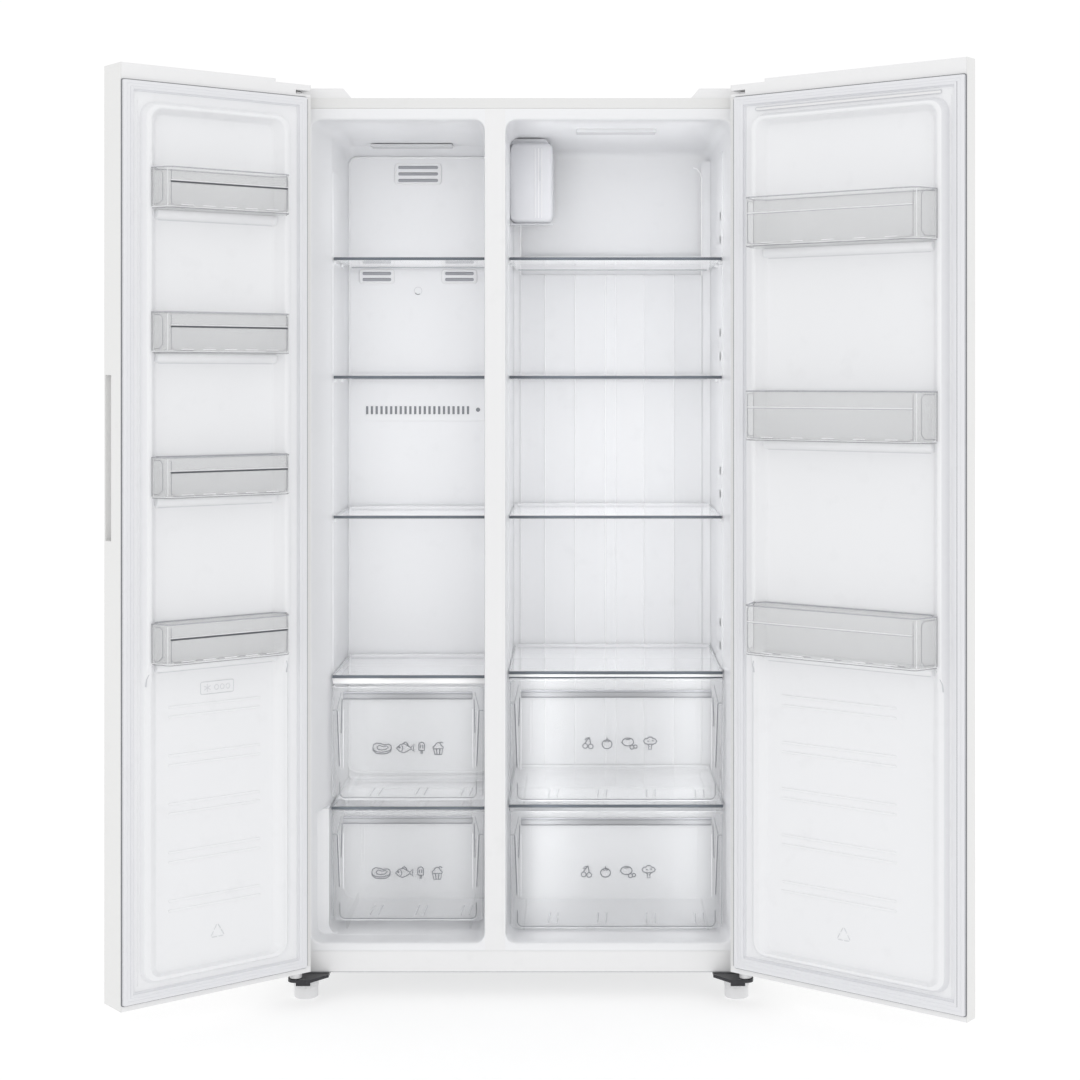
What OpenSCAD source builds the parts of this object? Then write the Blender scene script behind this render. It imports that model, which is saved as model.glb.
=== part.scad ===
// Side-by-side refrigerator: a foamed steel cabinet with a freezer on the left and a fridge on
// the right, two foamed doors on vertical pins, glass shelves, clear drawers and clear door bins.
// Millimetres, +Z up, front towards -Y, origin on the floor under the middle of the cabinet.
// Depths into the cabinet are counted from the front flange plane.

/* [Cabinet] */
// Width of the cabinet
cab_w = 910; // [906:1:914]
// Depth of the cabinet without its doors
cab_d = 580; // [576:1:590]
// Height of the cabinet's top above the floor
cab_top = 1760; // [1758:1:1764]
// Height of the cabinet's underside above the floor
cab_base = 50; // [49:1:51]
// Thickness of the painted sheet
sheet = 1.5; // [1.2:0.1:1.8]
// Width of the sheet's front returns at the sides
side_return = 12; // [10:1:14]
// Height of the sheet's front return under the top
top_return = 20; // [16:1:22]
// Top of the bottom rail
rail_top = 92; // [90:1:94]

/* [Compartments] */
// Thickness of the moulded liners
liner_t = 2; // [1.5:0.5:2.5]
// Left edge of the freezer opening
frz_x0 = -410; // [-412:1:-408]
// Right edge of the freezer opening
frz_x1 = -72; // [-74:1:-71]
// Left edge of the fridge opening
fri_x0 = -30; // [-31:1:-28]
// Right edge of the fridge opening
fri_x1 = 411; // [409:1:412]
// Floor of both compartments
room_z0 = 108; // [106:1:110]
// Ceiling of both compartments at the front
room_z1 = 1717; // [1715:1:1719]
// Corner radius of both openings
room_r = 20; // [16:1:22]
// Depth of both compartments
room_d = 520; // [518:1:522]
// Depth of both compartments below the machine step
step_d = 330; // [328:1:332]
// Height of the machine step
step_z = 340; // [338:1:342]

/* [Doors] */
// Width of the freezer door
frz_door_w = 398; // [396:1:399]
// Width of the fridge door
fri_door_w = 501; // [499:1:502]
// Thickness of both doors
door_t = 71; // [69:1:72]
// Gap between a closed door and the front flange plane
door_gap = 9; // [9:0.5:10]
// Underside of both doors
door_z0 = 63.5; // [63:0.5:65]
// Top of both doors
door_z1 = 1785.5; // [1784:0.5:1787]
// Distance of a door's pin from the cabinet's side
pin_u = 19; // [18.5:0.5:19.5]
// Distance of a door's pin in front of the flange plane
pin_v = 33; // [33:0.5:33.5]
// Radius of the door pins
pin_r = 5; // [4.5:0.1:5.5]
// Opening angle of the freezer door as drawn
frz_open = 141.4; // [0:0.1:142]
// Opening angle of the fridge door as drawn
fri_open = 142.6; // [0:0.1:143]

/* [Fittings] */
// Thickness of the glass shelves
glass_t = 6; // [5:0.5:6]
// Wall thickness of the clear drawers and bins
clear_t = 2.4; // [2:0.1:2.8]
// Radius of a levelling foot
foot_r = 23.5; // [22:0.5:25]
// Height of a levelling foot's cap
foot_h = 34; // [32:1:36]
// Radius of the rear rollers
roller_r = 18; // [17:0.5:19]

/* [Hidden] */
$fn = 48;
clear_gap = 0.3;     // air left between neighbours that only face each other
fit_gap = 0.05;      // radial clearance of a pin in its bore
front = -cab_d / 2;
rear = cab_d / 2;
half_w = cab_w / 2;
strip_x0 = frz_x1 + 1.3;
strip_x1 = fri_x0 - 1.3;
flange_z1 = cab_top - top_return;
bay_d = step_d + liner_t + 15;     // depth at which the machine bay begins
bay_y = front + bay_d;
bay_z1 = step_z - liner_t - 12;
rear_sheet_y = rear - sheet;
mid_frz = (frz_x0 + frz_x1) / 2;
mid_fri = (fri_x0 + fri_x1) / 2;
frz_wall_x = frz_x0 + 26;          // freezer side wall behind its tapered mouth
fri_wall_x = fri_x1 - 7;           // fridge side wall behind its tapered mouth
taper_d = 112;                     // depth at which the tapered mouths end
cover_d = 397;                     // depth of the evaporator cover's face
cover_t = 3;
duct_d = 497;                      // depth of the fridge duct cover's face
duct_z0 = 360;
duct_z1 = 1440;
// Upper faces of the glass shelves, top to bottom, and their front edges' depths
frz_shelf_z = [1456, 1217, 935, 617, 357];
fri_shelf_z = [1456, 1217, 935, 625, 361];
shelf_d0 = [120, 120, 120, 95, 80];
frz_shelf_d1 = cover_d - 9;
fri_shelf_d1 = duct_d - 7;
// Undersides and heights of the door bins, top to bottom
frz_bin_z = [1521, 1258, 993, 690];
fri_bin_z = [1459, 1095, 692];
frz_bin_h = 76;
fri_bin_h = 94;
frz_bin_v = 50;                    // how far the freezer bins reach in behind the flange plane
fri_bin_v = 66;
panel_v = -door_gap;               // inner face of a closed door
outer_v = -door_gap - door_t;      // outer face of a closed door
skin_t = 1.2;
lip = 8;                           // width of the skin's lips behind the liner
dike_v = 10;                       // how far the door liner's ridge reaches in
dike_low_v = 0;                    // the same below the bins
dike_step_z = 650;                 // where the ridge becomes lower
dike_z0 = 106;
dike_z1 = 1718;
dike_u0 = 51;
frz_dike_u1 = 361;
fri_dike_u1 = 467;
dike_r = 28;
hinge_bevel_u = 31;
hinge_bevel_v = 25;
bevel_u = 22;                      // finger bevel along the fridge door's free edge
bevel_v = 39;
cap_h0 = 11.5;
cap_h1 = 30.5;
pocket_u = 77;                     // the door's top is lower over the hinge up to here
pocket_drop = 6.5;
arm_z = cab_top + 2;               // underside of the top hinge arm
arm_t = 4;
slot_u = 33;                       // end of the slot in the door's top that the hinge arm works in
slot_z0 = cab_top + 0.5;
slot_z1 = cab_top + 8;
boss_r = 13;
grip_z0 = 914;
grip_z1 = 1218;
grip_v0 = -72;
grip_v1 = -48;
grip_deep = 18;
gasket_u0 = 11;
gasket_v = -1.5;
ledge_h = 2.5;                     // height of the ledges that carry the shelves
fan_x = mid_frz + 8;                 // centre line of the freezer fan and its vents
fan_z = 1600;
fan_shaft_r = 2.5;
foot_x = half_w - 33;
foot_y = front + 13;
foot_screw_r = 5;
roller_x = half_w - 60;
roller_y = rear - 60;
roller_w = 24;
axle_r = 4;

// ---- helpers -------------------------------------------------------------------------------

// Points of an arc from angle a0 to a1
function arc(cx, cy, r, a0, a1, n = 6) =
    [for (i = [0:n]) [cx + r * cos(a0 + (a1 - a0) * i / n), cy + r * sin(a0 + (a1 - a0) * i / n)]];

// A rectangle with round corners
function round_rect(x0, y0, x1, y1, r) = concat(
    arc(x1 - r, y0 + r, r, -90, 0), arc(x1 - r, y1 - r, r, 0, 90),
    arc(x0 + r, y1 - r, r, 90, 180), arc(x0 + r, y0 + r, r, 180, 270));

function rect(x0, y0, x1, y1) = [[x0, y0], [x1, y0], [x1, y1], [x0, y1]];

module block(lo, hi) {
    translate(lo) cube(hi - lo);
}

// An outline in X and Y, raised from z0 to z1
module raised(points, z0, z1) {
    translate([0, 0, z0]) linear_extrude(z1 - z0) polygon(points);
}

// An outline in X and Z, carried from y0 to y1
module along_y(points, y0, y1) {
    translate([0, y1, 0]) rotate([90, 0, 0]) linear_extrude(y1 - y0) polygon(points);
}

// An outline in Y and Z, carried from x0 to x1
module along_x(points, x0, x1) {
    translate([x0, 0, 0]) rotate([90, 0, 90]) linear_extrude(x1 - x0) polygon(points);
}

module rod(x, y, z0, z1, r) {
    translate([x, y, z0]) cylinder(h = z1 - z0, r = r);
}

module rod_y(x, z, y0, y1, r) {
    translate([x, y1, z]) rotate([90, 0, 0]) cylinder(h = y1 - y0, r = r);
}

module rod_x(y, z, x0, x1, r) {
    translate([x0, y, z]) rotate([0, 90, 0]) cylinder(h = x1 - x0, r = r);
}

module both_sides() {
    children();
    mirror([1, 0, 0]) children();
}

// ---- compartments --------------------------------------------------------------------------

// Plan of the freezer's inside, grown by o
function frz_plan(o) = concat(
    [[frz_x0 - o, front - 5], [frz_x0 - o, front], [frz_wall_x - o, front + taper_d]],
    [[frz_wall_x - o, front + room_d - room_r]],
    arc(frz_wall_x + room_r, front + room_d - room_r, room_r + o, 180, 90),
    arc(frz_x1 - room_r, front + room_d - room_r, room_r + o, 90, 0),
    [[frz_x1 + o, front - 5]]);

function frz_low_plan(o) = [
    [frz_x0 - o, front - 5], [frz_x0 - o, front], [frz_x0 + 4 - o, front + frz_step_d - 6],
    [frz_x0 + 8 - o, front + frz_step_d + o], [frz_x1 - 10, front + frz_step_d + o], [frz_x1 - 10, front - 5]];

// Plan of the fridge's inside, grown by o
function fri_plan(o) = concat(
    [[fri_x0 - o, front - 5]],
    arc(fri_x0 + room_r, front + room_d - room_r, room_r + o, 180, 90),
    arc(fri_wall_x - room_r, front + room_d - room_r, room_r + o, 90, 0),
    [[fri_wall_x + o, front + taper_d], [fri_x1 + o, front], [fri_x1 + o, front - 5]]);

// Side view of a compartment's inside, grown by o; drop is how far its ceiling falls to the rear
function room_side(o, drop) = [
    [front - 5, room_z0 - o], [front + step_d + o, room_z0 - o], [front + step_d + o, step_z - o],
    [front + room_d + o, step_z - o], [front + room_d + o, room_z1 - drop + o],
    [front + cover_d, room_z1 - drop + o], [front + step_d, room_z1 - drop * 0.45 + o],
    [front, room_z1 + o], [front - 5, room_z1 + o]];

module room(plan, x0, x1, o, drop) {
    intersection() {
        raised(plan, room_z0 - 10, room_z1 + 10);
        along_x(room_side(o, drop), x0 - 10, x1 + 10);
        along_y(round_rect(x0 - o, room_z0 - o, x1 + o, room_z1 + o, room_r + o),
            front - 6, front + room_d + 10);
    }
}

// Below the drawers' shelf the freezer's left wall steps in behind a shallow mouth
frz_step_d = 62;

module frz_room(o) {
    difference() {
        room(frz_plan(o), frz_x0, frz_x1, o, 27);
        block([frz_x0 - 40, front + frz_step_d + o, room_z0 - 20], [frz_wall_x - o, rear, frz_shelf_z[4] - o]);
    }
    intersection() {
        room(frz_low_plan(o), frz_x0, frz_x1, o, 27);
        block([frz_x0 - 40, front - 6, room_z0 - 20], [frz_x1 - 20, rear, frz_shelf_z[4] + o]);
    }
}

module fri_room(o) {
    room(fri_plan(o), fri_x0, fri_x1, o, 4);
}

// Ledges on a side wall that carry the shelves; x is the wall and reach how far they stand out
module ledges(x, reach, tops, d1) {
    for (i = [0:4]) {
        z = tops[i] - glass_t - clear_gap;
        block([min(x, x + reach), front + max(shelf_d0[i] + 12, taper_d), z - ledge_h],
            [max(x, x + reach), front + d1 - 6, z]);
    }
}

module freezer_liner() {
    color("#eeeef1") difference() {
        union() {
            intersection() {
                frz_room(liner_t);
                block([-half_w, front, 0], [half_w, rear, cab_top]);
            }
            block([-half_w + side_return + clear_gap, front, rail_top + clear_gap],
                [frz_x1 + 1, front + liner_t, flange_z1 - clear_gap]);
        }
        // the strip between the compartments covers the edge of the flange
        block([frz_x1 + 1, front - 1, 0], [frz_x1 + 9, front + liner_t + clear_gap, cab_top]);
        difference() {
            frz_room(0);
            ledges(frz_wall_x - 1, 7, frz_shelf_z, frz_shelf_d1);
            ledges(frz_x1 + 1, -5, frz_shelf_z, frz_shelf_d1);
        }
    }
}

module fridge_liner() {
    color("#eeeef1") difference() {
        union() {
            intersection() {
                fri_room(liner_t);
                block([-half_w, front, 0], [half_w, rear, cab_top]);
            }
            block([fri_x0 - 1, front, rail_top + clear_gap],
                [half_w - side_return - clear_gap, front + liner_t, flange_z1 - clear_gap]);
        }
        block([fri_x0 - 9, front - 1, 0], [fri_x0 - 1, front + liner_t + clear_gap, cab_top]);
        difference() {
            fri_room(0);
            ledges(fri_x0 - 1, 7, fri_shelf_z, fri_shelf_d1);
            ledges(fri_wall_x + 1, -7, fri_shelf_z, fri_shelf_d1);
        }
    }
}

// ---- cabinet -------------------------------------------------------------------------------

hinge_screw_at = [[-half_w + 45, front + 22], [-half_w + 75, front + 38], [-half_w + 105, front + 22]];
hinge_screw_r = 3;

module hinge_screw_holes(r, z0, z1) {
    for (p = hinge_screw_at) rod(p[0], p[1], z0, z1, r);
}

module outer_shell() {
    color("#e7e7e5") difference() {
        block([-half_w, front, cab_base], [half_w, rear_sheet_y, cab_top]);
        block([-half_w + sheet, front + sheet, cab_base - 1], [half_w - sheet, rear, cab_top - sheet]);
        block([-half_w + side_return, front - 1, cab_base - 1],
            [half_w - side_return, front + sheet + 1, cab_top - top_return]);
        both_sides() hinge_screw_holes(hinge_screw_r + 0.2, cab_top - 5, cab_top + 1);
    }
}

module back_panel() {
    color("#b9bbbe") difference() {
        union() {
            block([-half_w, rear_sheet_y, bay_z1], [half_w, rear, cab_top]);
            // pressed stiffening ribs, inwards of the panel's plane
            for (x = [-280, 0, 280]) {
                block([x - 15, rear_sheet_y - 2, bay_z1 + 120], [x + 15, rear_sheet_y + 1, cab_top - 120]);
            }
        }
        for (x = [-280, 0, 280]) {
            block([x - 12, rear_sheet_y - 0.5, bay_z1 + 123], [x + 12, rear + 1, cab_top - 123]);
        }
    }
}

// Ears that carry one rear roller
module roller_ears() {
    for (side = [-1, 1]) {
        x = roller_x + side * (roller_w / 2 + 3);
        difference() {
            block([x - 2, roller_y - 16, roller_r - 9], [x + 2, roller_y + 16, cab_base + 1]);
            rod_x(roller_y, roller_r, x - 3, x + 3, axle_r + fit_gap);
        }
    }
}

module base_pan() {
    color("#9a9da1") difference() {
        union() {
            along_x([[front + sheet + clear_gap, cab_base], [rear_sheet_y - 4, cab_base],
                [rear_sheet_y - 4, cab_base + 2], [bay_y + 2, cab_base + 2], [bay_y + 2, bay_z1 - 2],
                [rear_sheet_y - 4, bay_z1 - 2], [rear_sheet_y - 4, bay_z1], [bay_y, bay_z1],
                [bay_y, cab_base + 2], [front + sheet + clear_gap, cab_base + 2]],
                -half_w + sheet + clear_gap, half_w - sheet - clear_gap);
            both_sides() roller_ears();
        }
        both_sides() rod(foot_x, foot_y, cab_base - 2, cab_base + 4, foot_screw_r + fit_gap);
    }
}

module insulation_foam() {
    inset = sheet + clear_gap;
    color("#e3cf9a") difference() {
        block([-half_w + inset, front + liner_t + clear_gap, cab_base + 2 + clear_gap],
            [half_w - inset, rear_sheet_y - 2 - clear_gap, cab_top - inset]);
        frz_room(liner_t + clear_gap);
        fri_room(liner_t + clear_gap);
        block([-half_w, bay_y - clear_gap, 0], [half_w, rear, bay_z1 + clear_gap]);
        block([-half_w, front, 0], [half_w, front + 24, rail_top]);
        block([strip_x0 - 2, front, 0], [strip_x1 + 2, front + 16, cab_top]);
        both_sides() rod(foot_x, foot_y, 0, cab_base + 32, foot_screw_r + 4);
        both_sides() hinge_screw_holes(hinge_screw_r + 1, cab_top - 12, cab_top);
    }
}

module mullion_strip() {
    color("#e9e9eb") difference() {
        block([strip_x0, front, rail_top + clear_gap], [strip_x1, front + 12, flange_z1 - clear_gap]);
        block([strip_x0 + 1.5, front + 1.5, 0], [strip_x1 - 1.5, front + 20, cab_top]);
        // cut back behind the liners' flanges
        block([strip_x0 - 1, front + liner_t + clear_gap, 0], [frz_x1 + liner_t + 2, front + 20, cab_top]);
        block([fri_x0 - liner_t - 2, front + liner_t + clear_gap, 0], [strip_x1 + 1, front + 20, cab_top]);
    }
}

module bottom_rail() {
    x1 = half_w - side_return - clear_gap;
    color("#ececed") difference() {
        block([-x1, front, cab_base + 2 + clear_gap], [x1, front + 20, rail_top]);
        block([-x1 + 2, front + 2, cab_base], [x1 - 2, front + 21, rail_top - 2]);
        both_sides() rod(foot_x, foot_y, 0, rail_top + 1, foot_screw_r + 4);
    }
}

// ---- cold side -----------------------------------------------------------------------------

module evaporator_cover() {
    x0 = frz_wall_x + 2;
    x1 = frz_x1 - 2;
    z1 = room_z1 - 29;
    y0 = front + cover_d;
    color("#ededef") difference() {
        union() {
            along_y(round_rect(x0, step_z + 2, x1, z1, 18), y0, y0 + cover_t);
            // raised frames round the vents
            along_y(round_rect(fan_x - 48, 1627, fan_x + 48, 1678, 8), y0 - 1.5, y0 + 1);
            for (x = [fan_x - 89, fan_x + 89]) {
                along_y(round_rect(x - 36, 1415, x + 36, 1447, 8), y0 - 1.5, y0 + 1);
            }
            rod_y(fan_x, 1400, y0 - 1.5, y0 + 1, 8);
        }
        for (i = [0:2]) {
            z = 1638 + i * 14;
            along_y(round_rect(fan_x - 43, z - 3.5, fan_x + 43, z + 3.5, 3), y0 - 5, y0 + 10);
        }
        for (x = [fan_x - 89, fan_x + 89], z = [1424.5, 1437.5]) {
            along_y(round_rect(x - 31, z - 3.5, x + 31, z + 3.5, 3), y0 - 5, y0 + 10);
        }
        for (i = [0:21]) {
            x = -343 + i * 10.35;
            block([x - 2.6, y0 - 5, 1134], [x + 2.6, y0 + 10, 1152]);
        }
        rod_y(-104, 1144, y0 - 5, y0 + 1.5, 5);
    }
}

module evaporator_coil() {
    y0 = front + 430;
    color("#c5c8cb") union() {
        for (i = [0:19]) {
            x = frz_wall_x + 30 + i * 13;
            block([x, y0, 700], [x + 1, y0 + 62, 1010]);
        }
        for (row = [0:1], i = [0:5]) {
            rod_x(y0 + 16 + row * 30, 725 + i * 52, frz_wall_x + 18, frz_x1 - 18, 4);
        }
    }
}

module fan_motor() {
    y0 = front + 462;
    color("#4a4d50") union() {
        rod_y(fan_x, fan_z, y0, y0 + 38, 26);
        rod_y(fan_x, fan_z, y0 - 26, y0 + 1, fan_shaft_r);
        for (a = [30, 150, 270]) {
            translate([fan_x, y0 + 30, fan_z]) rotate([0, a, 0])
                block([20, 0, -5], [68, 6, 5]);
        }
        difference() {
            rod_y(fan_x, fan_z, y0 + 30, y0 + 36, 72);
            rod_y(fan_x, fan_z, y0 + 29, y0 + 37, 65);
        }
    }
}

module fan_blades() {
    y0 = front + 438;
    color("#f0f0f0") difference() {
        union() {
            rod_y(fan_x, fan_z, y0, y0 + 20, 17);
            for (a = [0:72:359]) {
                translate([fan_x, y0 + 10, fan_z]) rotate([0, a, 0])
                    translate([15, 0, 0]) rotate([38, 0, 0]) block([0, -1, -13], [41, 1, 13]);
            }
        }
        rod_y(fan_x, fan_z, y0 - 1, y0 + 21, fan_shaft_r + fit_gap);
    }
}

module fridge_duct_cover() {
    x0 = fri_x0 + 20;
    x1 = fri_wall_x - 20;
    y0 = front + duct_d;
    y1 = front + room_d - clear_gap;
    color("#eeeff1") difference() {
        union() {
            along_y(round_rect(x0, duct_z0, x1, duct_z1, 12), y0, y1);
            for (i = [0:4]) {
                x = 48 + i * 67.5;
                block([x - 10, y0 - 2.5, duct_z0 + 14], [x + 10, y0 + 1, duct_z1 - 14]);
            }
        }
        block([x0 + 3, y0 + 3, duct_z0 + 3], [x1 - 3, y1 + 1, duct_z1 - 3]);
    }
}

module damper_box() {
    x0 = fri_x0 + clear_gap;
    x1 = fri_x0 + 87;
    z0 = 1537;
    z1 = 1704;
    y0 = front + 245;
    y1 = front + room_d - room_r;
    color("#e6e8ec") difference() {
        union() {
            along_y([[x0, z0], [x1, z0], [x1, z1 - 14], [x1 - 14, z1], [x0 + 14, z1], [x0, z1 - 14]],
                y0, y1);
            block([x0, y0 - 5, z0 - 4], [x1 + 3, y1, z0 + 1]);
        }
        block([x0 - 1, y0 + 2.5, z0 - 5], [x1 - 2.5, y1 + 1, z1 - 16]);
    }
}

module lamp_covers() {
    color("#f4f6fa") {
        difference() {
            along_y(round_rect(108, room_z1 - 9, 269, room_z1 - 1.5, 2), front + 125, front + 165);
            block([111, front + 128, room_z1 - 6], [266, front + 162, room_z1]);
        }
        difference() {
            along_y(round_rect(-324, room_z1 - 19, -153, room_z1 - 12.8, 2), front + 290, front + 325);
            block([-321, front + 293, room_z1 - 16], [-156, front + 322, room_z1]);
        }
    }
}

// ---- machine bay ---------------------------------------------------------------------------

comp_x = 215;
comp_y = (bay_y + rear) / 2 - 2;

module compressor() {
    z0 = cab_base + 14;
    color("#26282a") {
        translate([comp_x, comp_y, z0]) rotate_extrude() polygon(concat(
            [[0, 0], [62, 0], [70, 10], [74, 26], [74, 88]], arc(14, 88, 60, 0, 90, 8), [[0, 148]]));
        difference() {
            along_y(rect(comp_x - 110, z0, comp_x + 110, z0 + 3), comp_y - 60, comp_y + 60);
            rod(comp_x, comp_y, z0 - 1, z0 + 4, 61);
            for (sx = [-1, 1], sy = [-1, 1]) rod(comp_x + sx * 98, comp_y + sy * 48, z0 - 1, z0 + 4, 6);
        }
        // rubber-bushed studs that carry the pot's foot plate
        for (sx = [-1, 1], sy = [-1, 1]) {
            rod(comp_x + sx * 98, comp_y + sy * 48, cab_base + 2, z0 + 12, 5.5);
        }
        block([comp_x - 96, comp_y - 26, z0 + 34], [comp_x - 68, comp_y + 26, z0 + 84]);
    }
}

module drip_tray() {
    x0 = -400;
    x1 = -130;
    y0 = bay_y + 40;
    y1 = rear - 40;
    z0 = cab_base + 2;
    color("#3c3f42") difference() {
        raised(round_rect(x0, y0, x1, y1, 15), z0, z0 + 55);
        raised(round_rect(x0 + 2, y0 + 2, x1 - 2, y1 - 2, 13), z0 + 2, z0 + 56);
    }
}

module rear_bay_cover() {
    x1 = half_w - sheet - 3;
    color("#8d9094") difference() {
        block([-x1, rear_sheet_y - 2.5, cab_base + 2], [x1, rear_sheet_y - 1, bay_z1 - 3]);
        for (bank = [-300, -100, 100, 300], i = [0:8]) {
            z = cab_base + 50 + i * 22;
            block([bank - 70, rear_sheet_y - 4, z], [bank + 70, rear, z + 7]);
        }
        rod_y(gland_x, gland_z, rear_sheet_y - 4, rear, 9 + fit_gap);
    }
}

gland_x = -400;
gland_z = cab_base + 262;
gland_bore_r = 4.2;

module cable_gland() {
    y0 = rear_sheet_y - 12;
    color("#1c1c1d") difference() {
        union() {
            rod_y(gland_x, gland_z, y0, rear - 0.5, 9);
            rod_y(gland_x, gland_z, rear_sheet_y - 0.9, rear, 12);
        }
        rod_y(gland_x, gland_z, y0 - 1, rear + 1, gland_bore_r);
    }
}

// ---- hinges, feet and rollers --------------------------------------------------------------

pin_x = -half_w + pin_u;
pin_y = front - pin_v;

module top_hinge() {
    color("#a8abae") difference() {
        union() {
            block([-half_w + 4, front + 4, cab_top], [-half_w + 113, front + 56, arm_z + arm_t]);
            block([pin_x - 12, pin_y, arm_z], [pin_x + 12, front + 5, arm_z + arm_t]);
            rod(pin_x, pin_y, arm_z, arm_z + arm_t, 12);
            rod(pin_x, pin_y, cab_top - 27, arm_z + 1, pin_r);
        }
        hinge_screw_holes(hinge_screw_r + 0.2, cab_top - 1, arm_z + arm_t + 1);
    }
}

module top_hinges() {
    both_sides() top_hinge();
}

module bottom_hinge() {
    z0 = cab_base - 6;
    color("#3e4145") difference() {
        union() {
            raised(concat([[-half_w + 4, front + 50], [-half_w + 4, pin_y]],
                arc(pin_x, pin_y, 15, 180, 270), [[pin_x + 30, pin_y - 15], [-half_w + 80, front - 12],
                [-half_w + 80, front + 50]]), z0, cab_base);
            rod(pin_x, pin_y, z0, door_z0 + 20, pin_r);
            // pressed stiffening lip along the front
            block([pin_x + 2, pin_y - 15, z0 - 6], [pin_x + 30, pin_y - 12, z0 + 1]);
        }
        rod(-foot_x, foot_y, z0 - 1, cab_base + 1, foot_screw_r + fit_gap);
    }
}

module bottom_hinges() {
    both_sides() bottom_hinge();
}

module hinge_cover() {
    x0 = -half_w + 2;
    y0 = front + 2;
    y1 = front + 78;
    z1 = cab_top + 19;
    color("#e6e6e5") difference() {
        along_y([[x0, cab_top], [x0 + 121, cab_top], [x0 + 105, z1], [x0 + 5, z1], [x0, z1 - 5]], y0, y1);
        along_y([[x0 + 2, cab_top - 1], [x0 + 119, cab_top - 1], [x0 + 104, z1 - 2], [x0 + 2, z1 - 2]],
            y0 + 1.8, y1 - 1.8);
        // mouth for the hinge arm
        block([pin_x - 14, y0 - 1, cab_top - 1], [pin_x + 14, y0 + 3, arm_z + arm_t + 2]);
    }
}

module hinge_covers() {
    both_sides() hinge_cover();
}

module hinge_screw(x, y) {
    z = arm_z + arm_t;
    color("#c9cbcd") {
        rod(x, y, cab_top - 10, z + 1, hinge_screw_r);
        translate([x, y, z]) cylinder(h = 4, r = 6, $fn = 6);
    }
}

module hinge_screws() {
    both_sides() for (p = hinge_screw_at) hinge_screw(p[0], p[1]);
}

module foot(x) {
    color("#f3f3f4") union() {
        translate([x, foot_y, 0]) rotate_extrude() polygon([[0, 0], [foot_r - 2, 0], [foot_r, 2],
            [foot_r, foot_h - 12], [foot_r - 2, foot_h - 10], [0, foot_h - 10]]);
        difference() {
            rod(x, foot_y, foot_h - 11, foot_h, foot_r + 1);
            for (a = [0:15:359]) {
                translate([x, foot_y, foot_h - 12]) rotate([0, 0, a]) translate([foot_r + 1.5, 0, 0])
                    cylinder(h = 14, r = 1.6);
            }
        }
        rod(x, foot_y, foot_h - 1, cab_base + 22, foot_screw_r);
    }
}

module foot_left() {
    foot(-foot_x);
}

module foot_right() {
    foot(foot_x);
}

module rear_rollers() {
    both_sides() color("#2a2b2d") union() {
        rod_x(roller_y, roller_r, roller_x - roller_w / 2, roller_x + roller_w / 2, roller_r);
        rod_x(roller_y, roller_r, roller_x - roller_w / 2 - 7, roller_x + roller_w / 2 + 7, axle_r);
    }
}

// ---- shelves and drawers -------------------------------------------------------------------

// A glass shelf of plan x0..x1, d0..d1 with its upper face at z
module shelf(x0, x1, d0, d1, z) {
    color([0.75, 0.82, 0.84, 0.4])
        raised(round_rect(x0, front + d0, x1, front + d1, 4), z - glass_t, z);
}

module frz_shelf(i) {
    shelf(frz_wall_x + 2, frz_x1 - 2, shelf_d0[i], frz_shelf_d1, frz_shelf_z[i]);
}

module fri_shelf(i) {
    shelf(fri_x0 + 2, fri_wall_x - 2, shelf_d0[i], fri_shelf_d1, fri_shelf_z[i]);
}

module freezer_shelf_1() { frz_shelf(0); }
module freezer_shelf_2() { frz_shelf(1); }
module freezer_shelf_3() { frz_shelf(2); }
module freezer_shelf_4() { frz_shelf(3); }
module freezer_shelf_5() { frz_shelf(4); }
module fridge_shelf_1() { fri_shelf(0); }
module fridge_shelf_2() { fri_shelf(1); }
module fridge_shelf_3() { fri_shelf(2); }
module fridge_shelf_4() { fri_shelf(3); }
module fridge_shelf_5() { fri_shelf(4); }

// A clear drawer on two runners, with a finger bar across the top of its front.
// rest is the face that its runners slide on.
module drawer(x0, x1, d0, d1, rest, z0, z1) {
    y0 = front + d0;
    y1 = front + d1;
    t = clear_t;
    color([0.82, 0.84, 0.86, 0.5]) difference() {
        union() {
            intersection() {
                raised(round_rect(x0, y0, x1, y1, 8), z0, z1);
                along_y(round_rect(x0, z0, x1, z1 + 20, 14), y0 - 1, y1 + 1);
            }
            block([x0 + 26, y0 - 9, z1 - 22], [x1 - 26, y0 + 1, z1 - 10]);
            for (x = [x0 + 30, x1 - 30]) block([x - 2, y0 + 12, rest], [x + 2, y1 - 12, z0 + 1]);
        }
        intersection() {
            raised(round_rect(x0 + t, y0 + t, x1 - t, y1 - t, 6), z0 + t, z1 + 1);
            along_y(round_rect(x0 + t, z0 + t, x1 - t, z1 + 20, 12), y0 - 1, y1 + 1);
        }
        block([x0 + 28, y0 - 7, z1 - 20], [x1 - 28, y0 - 0.5, z1 - 9]);
    }
}

frz_drawer_d0 = 84;
fri_drawer_d0 = 74;
drawer_d1 = frz_shelf_d1 - 4;      // rear of the upper drawers
low_drawer_d1 = step_d - 12;       // rear of the lower drawers

module freezer_drawer_upper() {
    drawer(frz_wall_x + 2, frz_x1 - 2.5, frz_drawer_d0, drawer_d1,
        frz_shelf_z[4] + clear_gap, frz_shelf_z[4] + 10, frz_shelf_z[3] - glass_t - 16);
}

module freezer_drawer_lower() {
    drawer(frz_wall_x + 2, frz_x1 - 2.5, frz_drawer_d0, low_drawer_d1,
        room_z0 + clear_gap, room_z0 + 18, frz_shelf_z[4] - glass_t - 4);
}

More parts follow.
